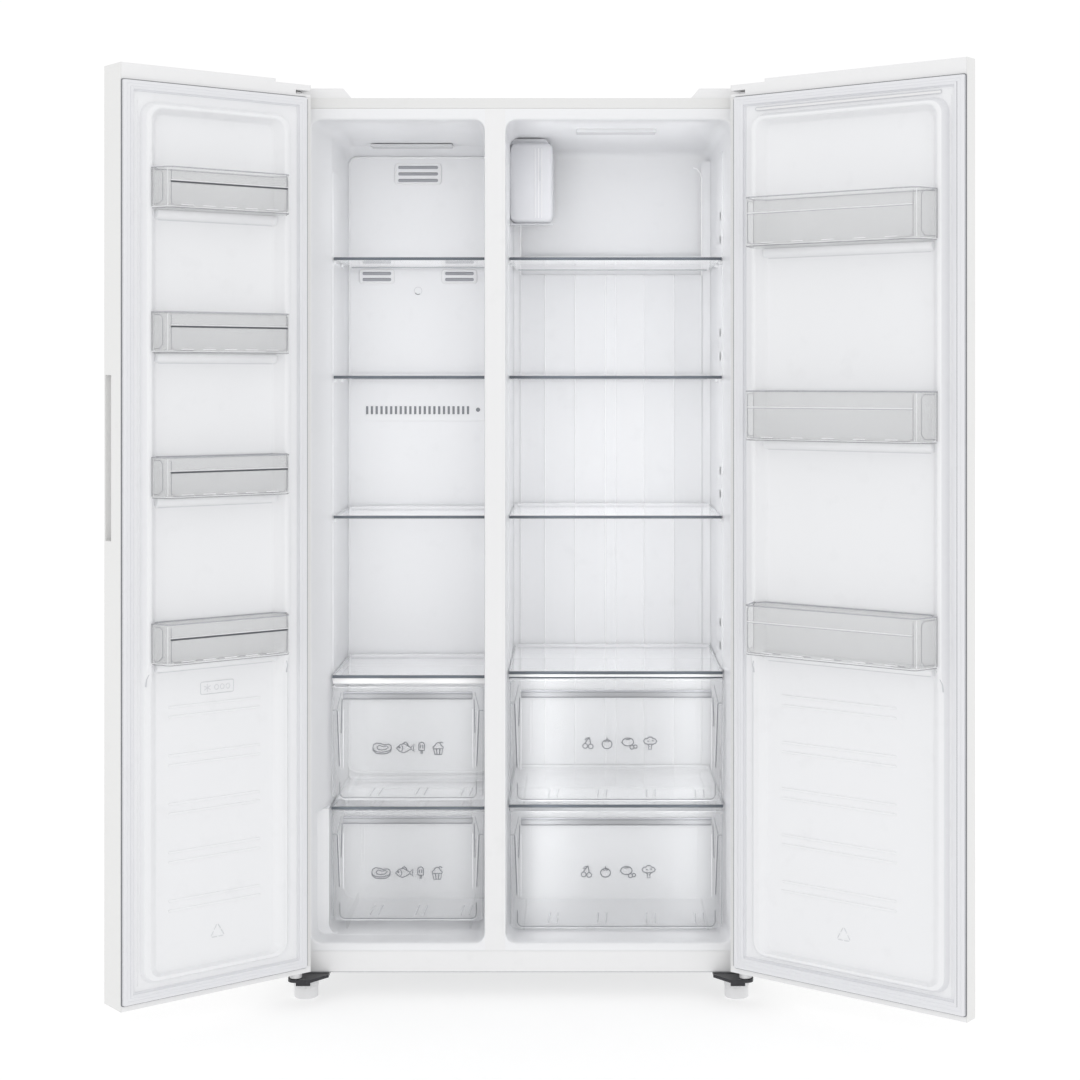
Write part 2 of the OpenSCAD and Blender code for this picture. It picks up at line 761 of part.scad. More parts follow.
module fridge_drawer_upper() {
    drawer(fri_x0 + 3, fri_wall_x - 2, fri_drawer_d0, drawer_d1,
        fri_shelf_z[4] + clear_gap, fri_shelf_z[4] + 5, fri_shelf_z[3] - glass_t - 8);
}

module fridge_drawer_lower() {
    drawer(fri_x0 + 3, fri_wall_x - 2, fri_drawer_d0, low_drawer_d1,
        room_z0 + clear_gap, room_z0 + 5, fri_shelf_z[4] - glass_t - 7);
}

// ---- doors ---------------------------------------------------------------------------------
// A door is drawn closed, with u across from the cabinet's side, v into the cabinet from the
// flange plane and z up. hung() swings it about its pin and mirrored for the right-hand side.

module hung(angle, right) {
    mirror([right ? 1 : 0, 0, 0])
        translate([pin_x, pin_y, 0]) rotate([0, 0, -angle]) translate([-pin_u, pin_v, 0])
            children();
}

// Plan of a door, inset by o, with a finger bevel of bu by bv on its free edge. The bevel on its
// hinge edge keeps the corner clear of the cabinet when the door is wide open.
function door_plan(w, bu, bv, o) = concat(
    [[o, outer_v + hinge_bevel_v + o / 2], [hinge_bevel_u + o / 2, outer_v + o]],
    bu > 0 ? [[w - bu - o / 2, outer_v + o], [w - o, outer_v + bv + o / 2]]
        : arc(w - 4, outer_v + 4, 4 - o, 270, 360, 4),
    [[w - o, panel_v + 1], [o, panel_v + 1]]);

module door_prism(w, bu, bv, o, z0, z1) {
    intersection() {
        raised(door_plan(w, bu, bv, o), z0, z1);
        block([-1, outer_v - 1, z0 - 1], [w + 1, panel_v, z1 + 1]);
    }
}

// The lower top over the hinge, and the slot that the hinge arm works in
module hinge_pocket() {
    block([-1, outer_v - 1, door_z1 - pocket_drop], [pocket_u, panel_v + 1, door_z1 + 1]);
    block([-1, outer_v - 1, slot_z0], [slot_u, panel_v + 1, slot_z1]);
}

module grip_cup(w, grow) {
    block([w - grip_deep - grow, grip_v0 - grow, grip_z0 - grow],
        [w + 1, grip_v1 + grow, grip_z1 + grow]);
}

module door_skin(w, bu, bv, grip) {
    difference() {
        union() {
            difference() {
                door_prism(w, bu, bv, 0, door_z0, door_z1);
                raised(door_plan(w, bu, bv, skin_t), door_z0 - 1, door_z1 + 1);
                block([lip, panel_v - skin_t - 2, door_z0 - 1], [w - lip, panel_v + 1, door_z1 + 1]);
            }
            // lips that the liner and the gasket lie on
            for (u = [0, w - lip]) {
                block([u, panel_v - skin_t, door_z0 + cap_h0 + clear_gap],
                    [u + lip, panel_v, door_z1 - cap_h1 - clear_gap]);
            }
            if (grip) intersection() {
                grip_cup(w, skin_t);
                door_prism(w, bu, bv, 0, door_z0, door_z1);
            }
        }
        if (grip) grip_cup(w, 0);
        hinge_pocket();
    }
}

module door_caps(w, bu, bv) {
    o = skin_t + 0.1;
    z1 = door_z1 - cap_h1;
    difference() {
        union() {
            difference() {
                door_prism(w, bu, bv, o, z1, door_z1);
                block([boss_r + 30, outer_v + 8, z1 - 1], [w - 8 - bu, panel_v - 4, door_z1 - 10]);
            }
            rod(pin_u, -pin_v, z1 - 22, z1 + 1, boss_r);
            door_prism(w, bu, bv, o, door_z0, door_z0 + cap_h0);
            rod(pin_u, -pin_v, cab_base + 1, door_z0 + 1, 12);
            rod(pin_u, -pin_v, door_z0 + cap_h0 - 1, door_z0 + cap_h0 + 14, boss_r);
        }
        hinge_pocket();
        rod(pin_u, -pin_v, cab_base, door_z0 + cap_h0 + 15, pin_r + fit_gap);
        rod(pin_u, -pin_v, z1 - 23, slot_z0 + 1, pin_r + fit_gap);
    }
}

module door_foam(w, bu, bv, grip) {
    z0 = door_z0 + cap_h0 + clear_gap;
    z1 = door_z1 - cap_h1 - clear_gap;
    difference() {
        intersection() {
            raised(door_plan(w, bu, bv, skin_t + clear_gap), z0, z1);
            block([-1, outer_v - 1, z0], [w + 1, panel_v - liner_t - clear_gap, z1]);
        }
        rod(pin_u, -pin_v, z0 - 1, door_z0 + cap_h0 + 16, boss_r + 0.5);
        rod(pin_u, -pin_v, z1 - 24, z1 + 1, boss_r + 0.5);
        if (grip) grip_cup(w, skin_t + clear_gap);
    }
}

// The ridge round the door liner: a raised ring with sloping flanks, shrunk by o on every face
module ridge_outside(u1, o) {
    // the hollow of the ridge is open behind the sheet
    base_v = o > 0 ? panel_v - liner_t - 1 : panel_v - liner_t;
    intersection() {
        raised([[dike_u0 + o, base_v], [dike_u0 + o, panel_v], [dike_u0 + 8 + o, dike_v - o],
            [u1 - 8 - o, dike_v - o], [u1 - o, panel_v], [u1 - o, base_v]], dike_z0 - 1, dike_z1 + 1);
        along_x([[base_v, dike_z0 + o], [panel_v, dike_z0 + o], [dike_v, dike_z0 + 5 + o],
            [dike_v, dike_z1 - 7 - o], [panel_v, dike_z1 - o], [base_v, dike_z1 - o]],
            dike_u0 - 1, u1 + 1);
        along_y(round_rect(dike_u0 + o, dike_z0 + o, u1 - o, dike_z1 - o, dike_r), panel_v - 4, dike_v + 1);
    }
}

module ridge_inside(u1, o) {
    e = 1.2;
    intersection() {
        raised([[dike_u0 + 32 - o, panel_v - 4], [dike_u0 + 32 - o, panel_v],
            [dike_u0 + 17 - o, dike_v], [dike_u0 + 17 - o - e, dike_v + 1.5],
            [u1 - 17 + o + e, dike_v + 1.5], [u1 - 17 + o, dike_v], [u1 - 32 + o, panel_v],
            [u1 - 32 + o, panel_v - 4]], dike_z0 - 1, dike_z1 + 1);
        along_x([[panel_v - 4, dike_z0 + 15 - o], [panel_v, dike_z0 + 15 - o], [dike_v, dike_z0 + 9 - o],
            [dike_v + 2, dike_z0 + 9 - o], [dike_v + 2, dike_z1 - 15 + o], [dike_v, dike_z1 - 15 + o],
            [panel_v, dike_z1 - 23 + o], [panel_v - 4, dike_z1 - 23 + o]], dike_u0 - 1, u1 + 1);
        along_y(round_rect(dike_u0 + 17 - o, dike_z0 + 9 - o, u1 - 17 + o, dike_z1 - 15 + o, dike_r - 6),
            panel_v - 5, dike_v + 2);
    }
}

module ridge_ring(u1, o) {
    difference() {
        ridge_outside(u1, o);
        ridge_inside(u1, o);
        // the ridge is lower beside the space under the bottom bin
        along_x([[dike_low_v - o, 0], [dike_v + 5, 0], [dike_v + 5, dike_step_z + 34 + o],
            [dike_v - o, dike_step_z + 34 + o], [dike_low_v - o, dike_step_z + o]], 0, u1 + 10);
    }
}

// Moulded door liner: a flat sheet with hollow ridges and a step under each bin
module door_liner(w, u1, bin_z) {
    z0 = door_z0 + cap_h0 + clear_gap;
    z1 = door_z1 - cap_h1 - clear_gap;
    difference() {
        union() {
            block([lip + clear_gap, panel_v - liner_t, z0], [w - lip - clear_gap, panel_v, z1]);
            ridge_ring(u1, 0);
            for (z = bin_z) {
                along_x([[panel_v - 1, z - 22], [panel_v + 5, z - 12], [panel_v + 5, z - clear_gap],
                    [panel_v - 1, z - clear_gap]], dike_u0 + 31, u1 - 31);
            }
        }
        ridge_ring(u1, liner_t);
    }
}

module gasket(w) {
    difference() {
        along_y(round_rect(gasket_u0, door_z0 + cap_h0 + 0.5, w - 2, door_z1 - cap_h1 - 1, 3),
            panel_v + clear_gap / 3, gasket_v);
        along_y(round_rect(31, 97, w - 27, 1736, 2), panel_v - 1, gasket_v + 1);
        // groove between the magnet strip and the part held in the liner
        difference() {
            along_y(rect(0, 60, w + 10, 1770), panel_v + 3.5, panel_v + 5.5);
            along_y(round_rect(gasket_u0 + 12, 87.5, w - 14, 1742, 3), panel_v - 1, gasket_v + 1);
        }
    }
}

// Plan of a bin between the ridges; its ends hook over the ridge's crest. Shrunk by o.
function bin_plan(u1, v1, o) = concat(
    [[dike_u0 + 33.5 + o, panel_v + 0.5 + o], [u1 - 33.5 - o, panel_v + 0.5 + o],
    [u1 - 18.5 - o, dike_v + 0.6], [u1 - 14 - o, dike_v + 0.6 + o]],
    arc(u1 - 26 - 12, v1 - 12, 12 - o, 0, 90), arc(dike_u0 + 26 + 12, v1 - 12, 12 - o, 90, 180),
    [[dike_u0 + 14 + o, dike_v + 0.6 + o], [dike_u0 + 18.5 + o, dike_v + 0.6]]);

// A clear bin with its underside at z
module bin(u1, v1, z, h) {
    t = clear_t;
    u0 = dike_u0;
    color([0.8, 0.82, 0.84, 0.55]) difference() {
        raised(bin_plan(u1, v1, 0), z, z + h);
        raised(bin_plan(u1, v1, t), z + t, z + h + 1);
        // the back is lower than the front
        block([u0 + 46, panel_v - 1, z + 26], [u1 - 46, panel_v + t + 2, z + h + 1]);
        // drain slots in the floor
        for (i = [0:3]) {
            u = u0 + 30 + (u1 - u0 - 60) * (0.5 + i) / 4;
            block([u - 22, v1 - 26, z - 1], [u + 22, v1 - 20, z + t + 1]);
        }
    }
}

module frz_bin(i) {
    hung(frz_open, false) bin(frz_dike_u1, frz_bin_v, frz_bin_z[i], frz_bin_h);
}

module fri_bin(i) {
    hung(fri_open, true) bin(fri_dike_u1, fri_bin_v, fri_bin_z[i], fri_bin_h);
}

module freezer_door_skin() {
    color("#e5e5e4") hung(frz_open, false) door_skin(frz_door_w, 0, 0, true);
}

module freezer_door_caps() {
    color("#e5e5e4") hung(frz_open, false) door_caps(frz_door_w, 0, 0);
}

module freezer_door_foam() {
    color("#e3cf9a") hung(frz_open, false) door_foam(frz_door_w, 0, 0, true);
}

module freezer_door_liner() {
    color("#f0f0f2") hung(frz_open, false)
        door_liner(frz_door_w, frz_dike_u1, frz_bin_z);
}

module freezer_gasket() {
    color("#d9dade") hung(frz_open, false) gasket(frz_door_w);
}

module fridge_door_skin() {
    color("#e5e5e4") hung(fri_open, true) door_skin(fri_door_w, bevel_u, bevel_v, false);
}

module fridge_door_caps() {
    color("#e5e5e4") hung(fri_open, true) door_caps(fri_door_w, bevel_u, bevel_v);
}

module fridge_door_foam() {
    color("#e3cf9a") hung(fri_open, true) door_foam(fri_door_w, bevel_u, bevel_v, false);
}

module fridge_door_liner() {
    color("#f0f0f2") hung(fri_open, true)
        door_liner(fri_door_w, fri_dike_u1, fri_bin_z);
}

module fridge_gasket() {
    color("#d9dade") hung(fri_open, true) gasket(fri_door_w);
}

module fridge_door_strip() {
    color("#e2e3e7") hung(fri_open, true)
        along_y(round_rect(58, 1724, 452, 1731, 2), panel_v, panel_v + 2);
}

// Steel plate under a door that meets the bottom hinge when the door is wide open
module door_stop() {
    color("#3e4145") difference() {
        raised([[boss_r + 10, outer_v + 22], [pin_u + 46, outer_v + 30], [pin_u + 62, -pin_v],
            [pin_u + 46, panel_v - 12], [6, panel_v - 12], [6, outer_v + 30]], door_z0 - 3, door_z0);
        rod(pin_u, -pin_v, door_z0 - 4, door_z0 + 1, 12 + clear_gap);
    }
}

module freezer_door_stop() {
    hung(frz_open, false) door_stop();
}

module fridge_door_stop() {
    hung(fri_open, true) door_stop();
}

module freezer_bin_1() { frz_bin(0); }
module freezer_bin_2() { frz_bin(1); }
module freezer_bin_3() { frz_bin(2); }
module freezer_bin_4() { frz_bin(3); }
module fridge_bin_1() { fri_bin(0); }
module fridge_bin_2() { fri_bin(1); }
module fridge_bin_3() { fri_bin(2); }

outer_shell();
back_panel();
base_pan();
insulation_foam();
freezer_liner();
fridge_liner();
mullion_strip();
bottom_rail();
evaporator_cover();
evaporator_coil();
fan_motor();
fan_blades();
fridge_duct_cover();
damper_box();
lamp_covers();
compressor();
drip_tray();
rear_bay_cover();
cable_gland();
top_hinges();
bottom_hinges();
hinge_covers();
hinge_screws();
foot_left();
foot_right();
rear_rollers();
freezer_shelf_1();
freezer_shelf_2();
freezer_shelf_3();
freezer_shelf_4();
freezer_shelf_5();
fridge_shelf_1();
fridge_shelf_2();
fridge_shelf_3();
fridge_shelf_4();
fridge_shelf_5();
freezer_drawer_upper();
freezer_drawer_lower();
fridge_drawer_upper();
fridge_drawer_lower();
freezer_door_skin();
freezer_door_caps();
freezer_door_foam();
freezer_door_liner();
freezer_gasket();
freezer_door_stop();
freezer_bin_1();
freezer_bin_2();
freezer_bin_3();
freezer_bin_4();
fridge_door_skin();
fridge_door_caps();
fridge_door_foam();
fridge_door_liner();
fridge_gasket();
fridge_door_stop();
fridge_door_strip();
fridge_bin_1();
fridge_bin_2();
fridge_bin_3();
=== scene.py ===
"""Side by side refrigerator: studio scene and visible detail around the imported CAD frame."""

import math
import bmesh
import bpy
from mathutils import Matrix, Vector


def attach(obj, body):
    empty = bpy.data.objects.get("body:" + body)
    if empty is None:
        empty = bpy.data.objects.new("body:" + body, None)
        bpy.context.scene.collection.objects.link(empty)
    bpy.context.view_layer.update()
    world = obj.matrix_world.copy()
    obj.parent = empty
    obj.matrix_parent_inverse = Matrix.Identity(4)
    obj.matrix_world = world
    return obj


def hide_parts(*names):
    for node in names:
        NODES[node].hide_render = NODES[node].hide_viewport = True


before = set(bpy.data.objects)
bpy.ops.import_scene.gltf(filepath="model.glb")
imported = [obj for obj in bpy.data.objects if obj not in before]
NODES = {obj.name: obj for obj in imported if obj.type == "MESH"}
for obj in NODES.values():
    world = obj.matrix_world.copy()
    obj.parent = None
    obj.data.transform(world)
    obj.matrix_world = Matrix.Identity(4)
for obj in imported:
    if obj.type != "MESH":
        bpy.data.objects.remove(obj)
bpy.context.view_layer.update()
MM = 0.001

# ---- camera, light and floor ----------------------------------------------------------------

scene = bpy.context.scene
camera = bpy.data.objects.new("camera", bpy.data.cameras.new("camera"))
scene.collection.objects.link(camera)
camera.location = (0.1078, -4.1805, 1.214)
camera.rotation_euler = (math.radians(90), 0, 0)
camera.data.sensor_width = 36
camera.data.lens = 66.32
camera.data.shift_x = -0.0336
camera.data.shift_y = -0.1507
scene.camera = camera
scene.view_settings.view_transform = "Standard"

world = bpy.data.worlds.new("studio")
world.use_nodes = True
world.node_tree.nodes["Background"].inputs["Color"].default_value = (1, 1, 1, 1)
world.node_tree.nodes["Background"].inputs["Strength"].default_value = 1.02
scene.world = world


def area_light(name, location, target, size, power, spread=180):
    light = bpy.data.lights.new(name, "AREA")
    light.spread = math.radians(spread)
    light.shape = "RECTANGLE"
    light.size, light.size_y = size
    light.energy = power
    lamp = bpy.data.objects.new(name, light)
    scene.collection.objects.link(lamp)
    lamp.location = location
    lamp.rotation_euler = (Vector(target) - Vector(location)).to_track_quat("-Z", "Y").to_euler()
    lamp.visible_camera = False
    lamp.visible_glossy = False
    return lamp


# two upright strips in the mouth of each compartment, each turned to the wall across, stand for
# the light that a studio throws in
for name, near, far, power in (("freezer_a", -0.354, -0.085, 0.40), ("freezer_b", -0.108, -0.40, 0.34),
                               ("fridge_a", 0.012, 0.42, 0.70), ("fridge_b", 0.368, -0.05, 0.62)):
    area_light(name, (near, -0.284, 0.915), (far, 0.16, 0.915), (0.05, 1.56), power, 112)
area_light("fridge_top", (0.19, -0.28, 1.50), (0.19, 0.05, 1.74), (0.36, 0.04), 0.065, 120)
area_light("freezer_top", (-0.235, -0.28, 1.50), (-0.235, 0.05, 1.74), (0.26, 0.04), 0.02, 120)
area_light("front_softbox", (0.2, -4.6, 1.9), (0.0, -0.3, 0.9), (2.6, 2.2), 9.0)
# the drawers and shelves stack many clear faces behind each other
scene.cycles.transparent_max_bounces = 64

# ---- materials ------------------------------------------------------------------------------


def material(name, colour, rough, bump=0.05, scale=300.0, metal=0.0, alpha=1.0, coat=0.0,
             tint=0.03, grain=None, specular=0.5, emit=0.0, graze=0.0, wear=0.02):
    """A procedural finish: slow colour drift, faint scuffs, fine relief and uneven gloss."""
    mat = bpy.data.materials.new(name)
    mat.use_nodes = True
    tree = mat.node_tree
    shader = tree.nodes["Principled BSDF"]
    shader.inputs["Metallic"].default_value = metal
    shader.inputs["Coat Weight"].default_value = coat
    shader.inputs["Coat Roughness"].default_value = 0.12
    shader.inputs["Specular IOR Level"].default_value = specular
    shader.inputs["Alpha"].default_value = alpha
    if graze:
        # glass mirrors more and passes less at a flat angle
        facing = tree.nodes.new("ShaderNodeLayerWeight")
        mirror = tree.nodes.new("ShaderNodeMath")
        mirror.operation = "POWER"
        mirror.inputs[1].default_value = 5.0
        tree.links.new(facing.outputs["Facing"], mirror.inputs[0])
        cover = tree.nodes.new("ShaderNodeMath")
        cover.operation = "MULTIPLY_ADD"
        cover.use_clamp = True
        cover.inputs[1].default_value = graze
        cover.inputs[2].default_value = alpha
        tree.links.new(mirror.outputs["Value"], cover.inputs[0])
        tree.links.new(cover.outputs["Value"], shader.inputs["Alpha"])
    if emit:
        shader.inputs["Emission Color"].default_value = (1, 1, 1, 1)
        shader.inputs["Emission Strength"].default_value = emit
    place = tree.nodes.new("ShaderNodeTexCoord")
    stretch = tree.nodes.new("ShaderNodeMapping")
    stretch.inputs["Scale"].default_value = grain or (1, 1, 1)
    tree.links.new(place.outputs["Object"], stretch.inputs["Vector"])

    def noise(size, detail):
        n = tree.nodes.new("ShaderNodeTexNoise")
        n.inputs["Scale"].default_value = size
        n.inputs["Detail"].default_value = detail
        tree.links.new(stretch.outputs["Vector"], n.inputs["Vector"])
        return n

    fine = noise(scale, 4.0)
    slow = noise(3.0, 3.0)
    drift = tree.nodes.new("ShaderNodeMapRange")
    drift.inputs["To Min"].default_value = 1.0 - tint
    drift.inputs["To Max"].default_value = 1.0
    tree.links.new(slow.outputs["Fac"], drift.inputs["Value"])
    shade = tree.nodes.new("ShaderNodeMix")
    shade.data_type = "RGBA"
    shade.blend_type = "MULTIPLY"
    shade.inputs["Factor"].default_value = 1.0
    shade.inputs["A"].default_value = (*colour, 1)
    tree.links.new(drift.outputs["Result"], shade.inputs["B"])
    # scuffs: the peaks of a middle-sized noise, a little darker than the rest
    scuff = tree.nodes.new("ShaderNodeMapRange")
    scuff.inputs["From Min"].default_value = 0.60
    scuff.inputs["From Max"].default_value = 0.72
    scuff.inputs["To Min"].default_value = 1.0
    scuff.inputs["To Max"].default_value = 1.0 - wear
    tree.links.new(noise(22.0, 6.0).outputs["Fac"], scuff.inputs["Value"])
    worn = tree.nodes.new("ShaderNodeMix")
    worn.data_type = "RGBA"
    worn.blend_type = "MULTIPLY"
    worn.inputs["Factor"].default_value = 1.0
    tree.links.new(shade.outputs["Result"], worn.inputs["A"])
    tree.links.new(scuff.outputs["Result"], worn.inputs["B"])
    tree.links.new(worn.outputs["Result"], shader.inputs["Base Color"])
    gloss = tree.nodes.new("ShaderNodeMapRange")
    gloss.inputs["To Min"].default_value = max(0.02, rough - 0.06)
    gloss.inputs["To Max"].default_value = min(1.0, rough + 0.06)
    tree.links.new(fine.outputs["Fac"], gloss.inputs["Value"])
    tree.links.new(gloss.outputs["Result"], shader.inputs["Roughness"])
    relief = tree.nodes.new("ShaderNodeBump")
    relief.inputs["Strength"].default_value = bump
    relief.inputs["Distance"].default_value = 0.0006
    tree.links.new(fine.outputs["Fac"], relief.inputs["Height"])
    tree.links.new(relief.outputs["Normal"], shader.inputs["Normal"])
    return mat


MAT = {
    "paint": material("white_enamel", (0.77, 0.77, 0.765), 0.32, 0.10, 420, coat=0.25),
    "liner": material("liner_white", (0.84, 0.845, 0.86), 0.34, 0.08, 500),
    "trim": material("trim_white", (0.83, 0.83, 0.835), 0.38, 0.08, 500),
    "gasket": material("gasket_grey", (0.77, 0.775, 0.80), 0.55, 0.15, 700),
    "seam": material("seam_grey", (0.22, 0.225, 0.24), 0.6, 0.1, 500),
    # the shelves' glass glows faintly (emit), a painted brightening; its mirror and flat-angle alpha come
    # from the shader
    "glass": material("shelf_glass", (0.985, 0.99, 1.0), 0.05, 0.01, 40, metal=1.0, alpha=0.02, graze=0.85,
                      tint=0.01, emit=0.12),
    "glass_edge": material("glass_edge", (0.10, 0.115, 0.135), 0.18, 0.03, 300),
    "glass_rim": material("glass_rim", (0.50, 0.52, 0.55), 0.2, 0.03, 300, alpha=0.8),
    "clear": material("clear_plastic", (0.86, 0.87, 0.885), 0.16, 0.03, 220, alpha=0.085),
    # grey lines on the clear parts: painted edge shade
    "clear_edge": material("clear_edge", (0.50, 0.51, 0.54), 0.2, 0.03, 220, alpha=0.55),
    # near-white lines on the clear parts: painted highlights and reflections
    "clear_bright": material("clear_bright", (0.93, 0.93, 0.95), 0.2, 0.03, 220, alpha=0.75),
    "bin": material("bin_plastic", (0.785, 0.79, 0.795), 0.22, 0.01, 120, alpha=0.19),
    # grey lines on the bins: painted edge shade
    "bin_edge_shade": material("bin_edge_shade", (0.38, 0.385, 0.40), 0.25, 0.04, 260, alpha=0.75),
    "bin_line": material("bin_line", (0.085, 0.09, 0.10), 0.3, 0.04, 260),
    "ink": material("printed_ink", (0.17, 0.175, 0.19), 0.6, 0.05, 800),
    "emboss": material("emboss_shadow", (0.60, 0.61, 0.635), 0.5, 0.05, 500),
    # grey lines of painted shade that outline embossed relief
    "mark": material("embossed_mark_shade", (0.69, 0.70, 0.72), 0.5, 0.05, 500),
    # near-white and faintly glowing: painted highlights
    "bead": material("bead_painted_highlight", (0.93, 0.935, 0.945), 0.3, 0.05, 300, emit=0.10),
    # a greyer liner white: painted shade on the fridge door's ridge slope
    "slope": material("ridge_slope_shade", (0.765, 0.77, 0.79), 0.36, 0.06, 500),
    # grey louvres: painted shade of the vents' slots
    "louvre": material("louvre_painted_shade", (0.42, 0.43, 0.46), 0.5, 0.08, 400, tint=0.10),
    "damper": material("damper_white", (0.63, 0.635, 0.66), 0.4, 0.08, 500),
    # dark lines of painted shade along grooves and mouldings
    "line": material("moulding_shade_line", (0.22, 0.225, 0.24), 0.3, 0.04, 300),
    "bar": material("finger_bar", (0.36, 0.365, 0.38), 0.6, 0.04, 300, alpha=0.9, specular=0.1),
    # dark fill for slots as painted shade, also used for the disc of the screw
    "slot": material("slot_dark", (0.26, 0.27, 0.29), 0.7, 0.05, 400),
    "steel": material("zinc_steel", (0.55, 0.56, 0.57), 0.32, 0.12, 260, metal=0.9, grain=(1, 8, 1),
                      wear=0.15),
    "dark_steel": material("dark_steel", (0.055, 0.055, 0.06), 0.26, 0.2, 300, metal=0.85, grain=(8, 1, 1),
                           wear=0.2),
    "sheet": material("galvanised_sheet", (0.56, 0.57, 0.58), 0.42, 0.2, 90, metal=0.6, tint=0.08, wear=0.03),
    "foam": material("foam", (0.80, 0.70, 0.46), 0.9, 0.6, 160, tint=0.15),
    "aluminium": material("fin_aluminium", (0.75, 0.76, 0.77), 0.35, 0.1, 300, metal=0.95),
    "black": material("black_plastic", (0.035, 0.035, 0.038), 0.45, 0.2, 350),
    "rubber": material("black_rubber", (0.02, 0.02, 0.02), 0.75, 0.25, 500),
    "white_part": material("moulded_white", (0.84, 0.84, 0.85), 0.45, 0.12, 350),
    "lens": material("lamp_lens", (0.62, 0.625, 0.64), 0.4, 0.05, 300),
}

FINISH = {
    "paint": ["outer_shell", "freezer_door_skin", "fridge_door_skin"],
    "trim": ["mullion_strip", "bottom_rail", "hinge_covers", "top_hinges", "freezer_door_caps",
             "fridge_door_caps", "fridge_door_strip"],
    "liner": ["freezer_liner", "fridge_liner", "evaporator_cover", "fridge_duct_cover", "damper_box",
              "freezer_door_liner", "fridge_door_liner"],
    "gasket": ["freezer_gasket", "fridge_gasket"],
    "steel": ["hinge_screws"],
    "dark_steel": ["bottom_hinges", "freezer_door_stop", "fridge_door_stop"],
    "sheet": ["back_panel", "base_pan", "rear_bay_cover"],
    "foam": ["insulation_foam", "freezer_door_foam", "fridge_door_foam"],
    "aluminium": ["evaporator_coil"],
    "black": ["fan_motor", "compressor", "drip_tray", "rear_rollers"],
    "rubber": ["cable_gland"],
    "white_part": ["foot_left", "foot_right", "fan_blades"],
    "lens": ["lamp_covers"],
}
for key, names in FINISH.items():
    for n in names:
        NODES[n].data.materials.clear()
        NODES[n].data.materials.append(MAT[key])
for n, o in NODES.items():
    if "_shelf_" in n or "drawer" in n or "_bin_" in n:
        o.data.materials.clear()
        o.data.materials.append(MAT["glass" if "_shelf_" in n else "clear" if "drawer" in n else "bin"])

# ---- mesh helpers (millimetres) --------------------------------------------------------------

FRONT = -290.0
PIN_X, PIN_Y, PIN_U, PIN_V = 436.0, -323.0, 19.0, 33.0
ANGLE = {"L": math.radians(141.4), "R": math.radians(142.6)}
DOOR_BODY = {"L": "freezer_door", "R": "fridge_door"}


def cabinet(p):
    return p


def door_place(side):
    """Door coordinates (u across, v towards the cabinet, z) to the row frame."""
    c, s = math.cos(ANGLE[side]), math.sin(ANGLE[side])
    sign = -1 if side == "L" else 1

    def place(p):
        a, b = p[0] - PIN_U, p[1] + PIN_V
        return (sign * (PIN_X - a * c - b * s), PIN_Y - a * s + b * c, p[2])

    return place


PLACE = {"L": door_place("L"), "R": door_place("R"), "C": cabinet}


def build(name, parts, body, where="C", replaces=None, bevel=0.0, smooth=35):
    """One piece from several (vertices, faces, material key) parts."""
    bm = bmesh.new()
    keys = []
    for verts, faces, key in parts:
        if key not in keys:
            keys.append(key)
        made = [bm.verts.new(Vector(PLACE[where](v)) * MM) for v in verts]
        for f in faces:
            try:
                face = bm.faces.new([made[i] for i in f])
            except ValueError:
                continue
            face.material_index = keys.index(key)
            face.smooth = True
    bmesh.ops.recalc_face_normals(bm, faces=bm.faces)
    mesh = bpy.data.meshes.new(name)
    bm.to_mesh(mesh)
    bm.free()
    for key in keys:
        mesh.materials.append(MAT[key])
    mesh.set_sharp_from_angle(angle=math.radians(smooth))
    obj = bpy.data.objects.new(name, mesh)
    scene.collection.objects.link(obj)
    if bevel:
        soft = obj.modifiers.new("bevel", "BEVEL")
        soft.width = bevel * MM
        soft.segments = 2
        soft.limit_method = "ANGLE"
        soft.angle_limit = math.radians(40)
        soft.harden_normals = False
    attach(obj, body)
    if replaces:
        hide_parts(*replaces)
    return obj


def rrect(a0, b0, a1, b1, r, seg=5, marks=()):
    """Closed loop of a round-cornered rectangle; marks are extra heights on its two upright sides."""
    pts = []

    def corner(ca, cb, start):
        for i in range(seg + 1):
            t = math.radians(start + 90 * i / seg)
            pts.append((ca + r * math.cos(t), cb + r * math.sin(t)))

    corner(a1 - r, b0 + r, -90)
    pts.extend((a1, m) for m in marks)
    corner(a1 - r, b1 - r, 0)
    corner(a0 + r, b1 - r, 90)
    pts.extend((a0, m) for m in reversed(marks))
    corner(a0 + r, b0 + r, 180)
    return pts


def loft(rings, key, cap_start=False, cap_end=False, closed=False):
    """Faces between successive rings of equal length."""
    verts = [p for ring in rings for p in ring]
    n = len(rings[0])
    faces = []
    spans = len(rings) if closed else len(rings) - 1
    for k in range(spans):
        a, b = k * n, ((k + 1) % len(rings)) * n
        for i in range(n):
            j = (i + 1) % n
            faces.append((a + i, a + j, b + j, b + i))
    if cap_start:
        faces.append(tuple(range(n)))
    if cap_end:
        faces.append(tuple(range((len(rings) - 1) * n, len(rings) * n)))
    return verts, faces, key


def slab(lo, hi, key, r=0.0, axis=2, e=0.6):
    """A block with round upright edges along an axis and a small chamfer at both ends."""
    order = {0: (1, 2, 0), 1: (0, 2, 1), 2: (0, 1, 2)}[axis]
    a, b, c = order
    r = max(r, e * 1.01)
    levels = [(e, lo[c]), (0, lo[c] + e), (0, hi[c] - e), (e, hi[c])]
    rings = []
    for inset, h in levels:
        loop = rrect(lo[a] + inset, lo[b] + inset, hi[a] - inset, hi[b] - inset, max(r - inset, 0.05), 3)
        ring = []
        for p in loop:
            q = [0, 0, 0]
            q[a], q[b], q[c] = p[0], p[1], h
            ring.append(tuple(q))
        rings.append(ring)
    return loft(rings, key, True, True)


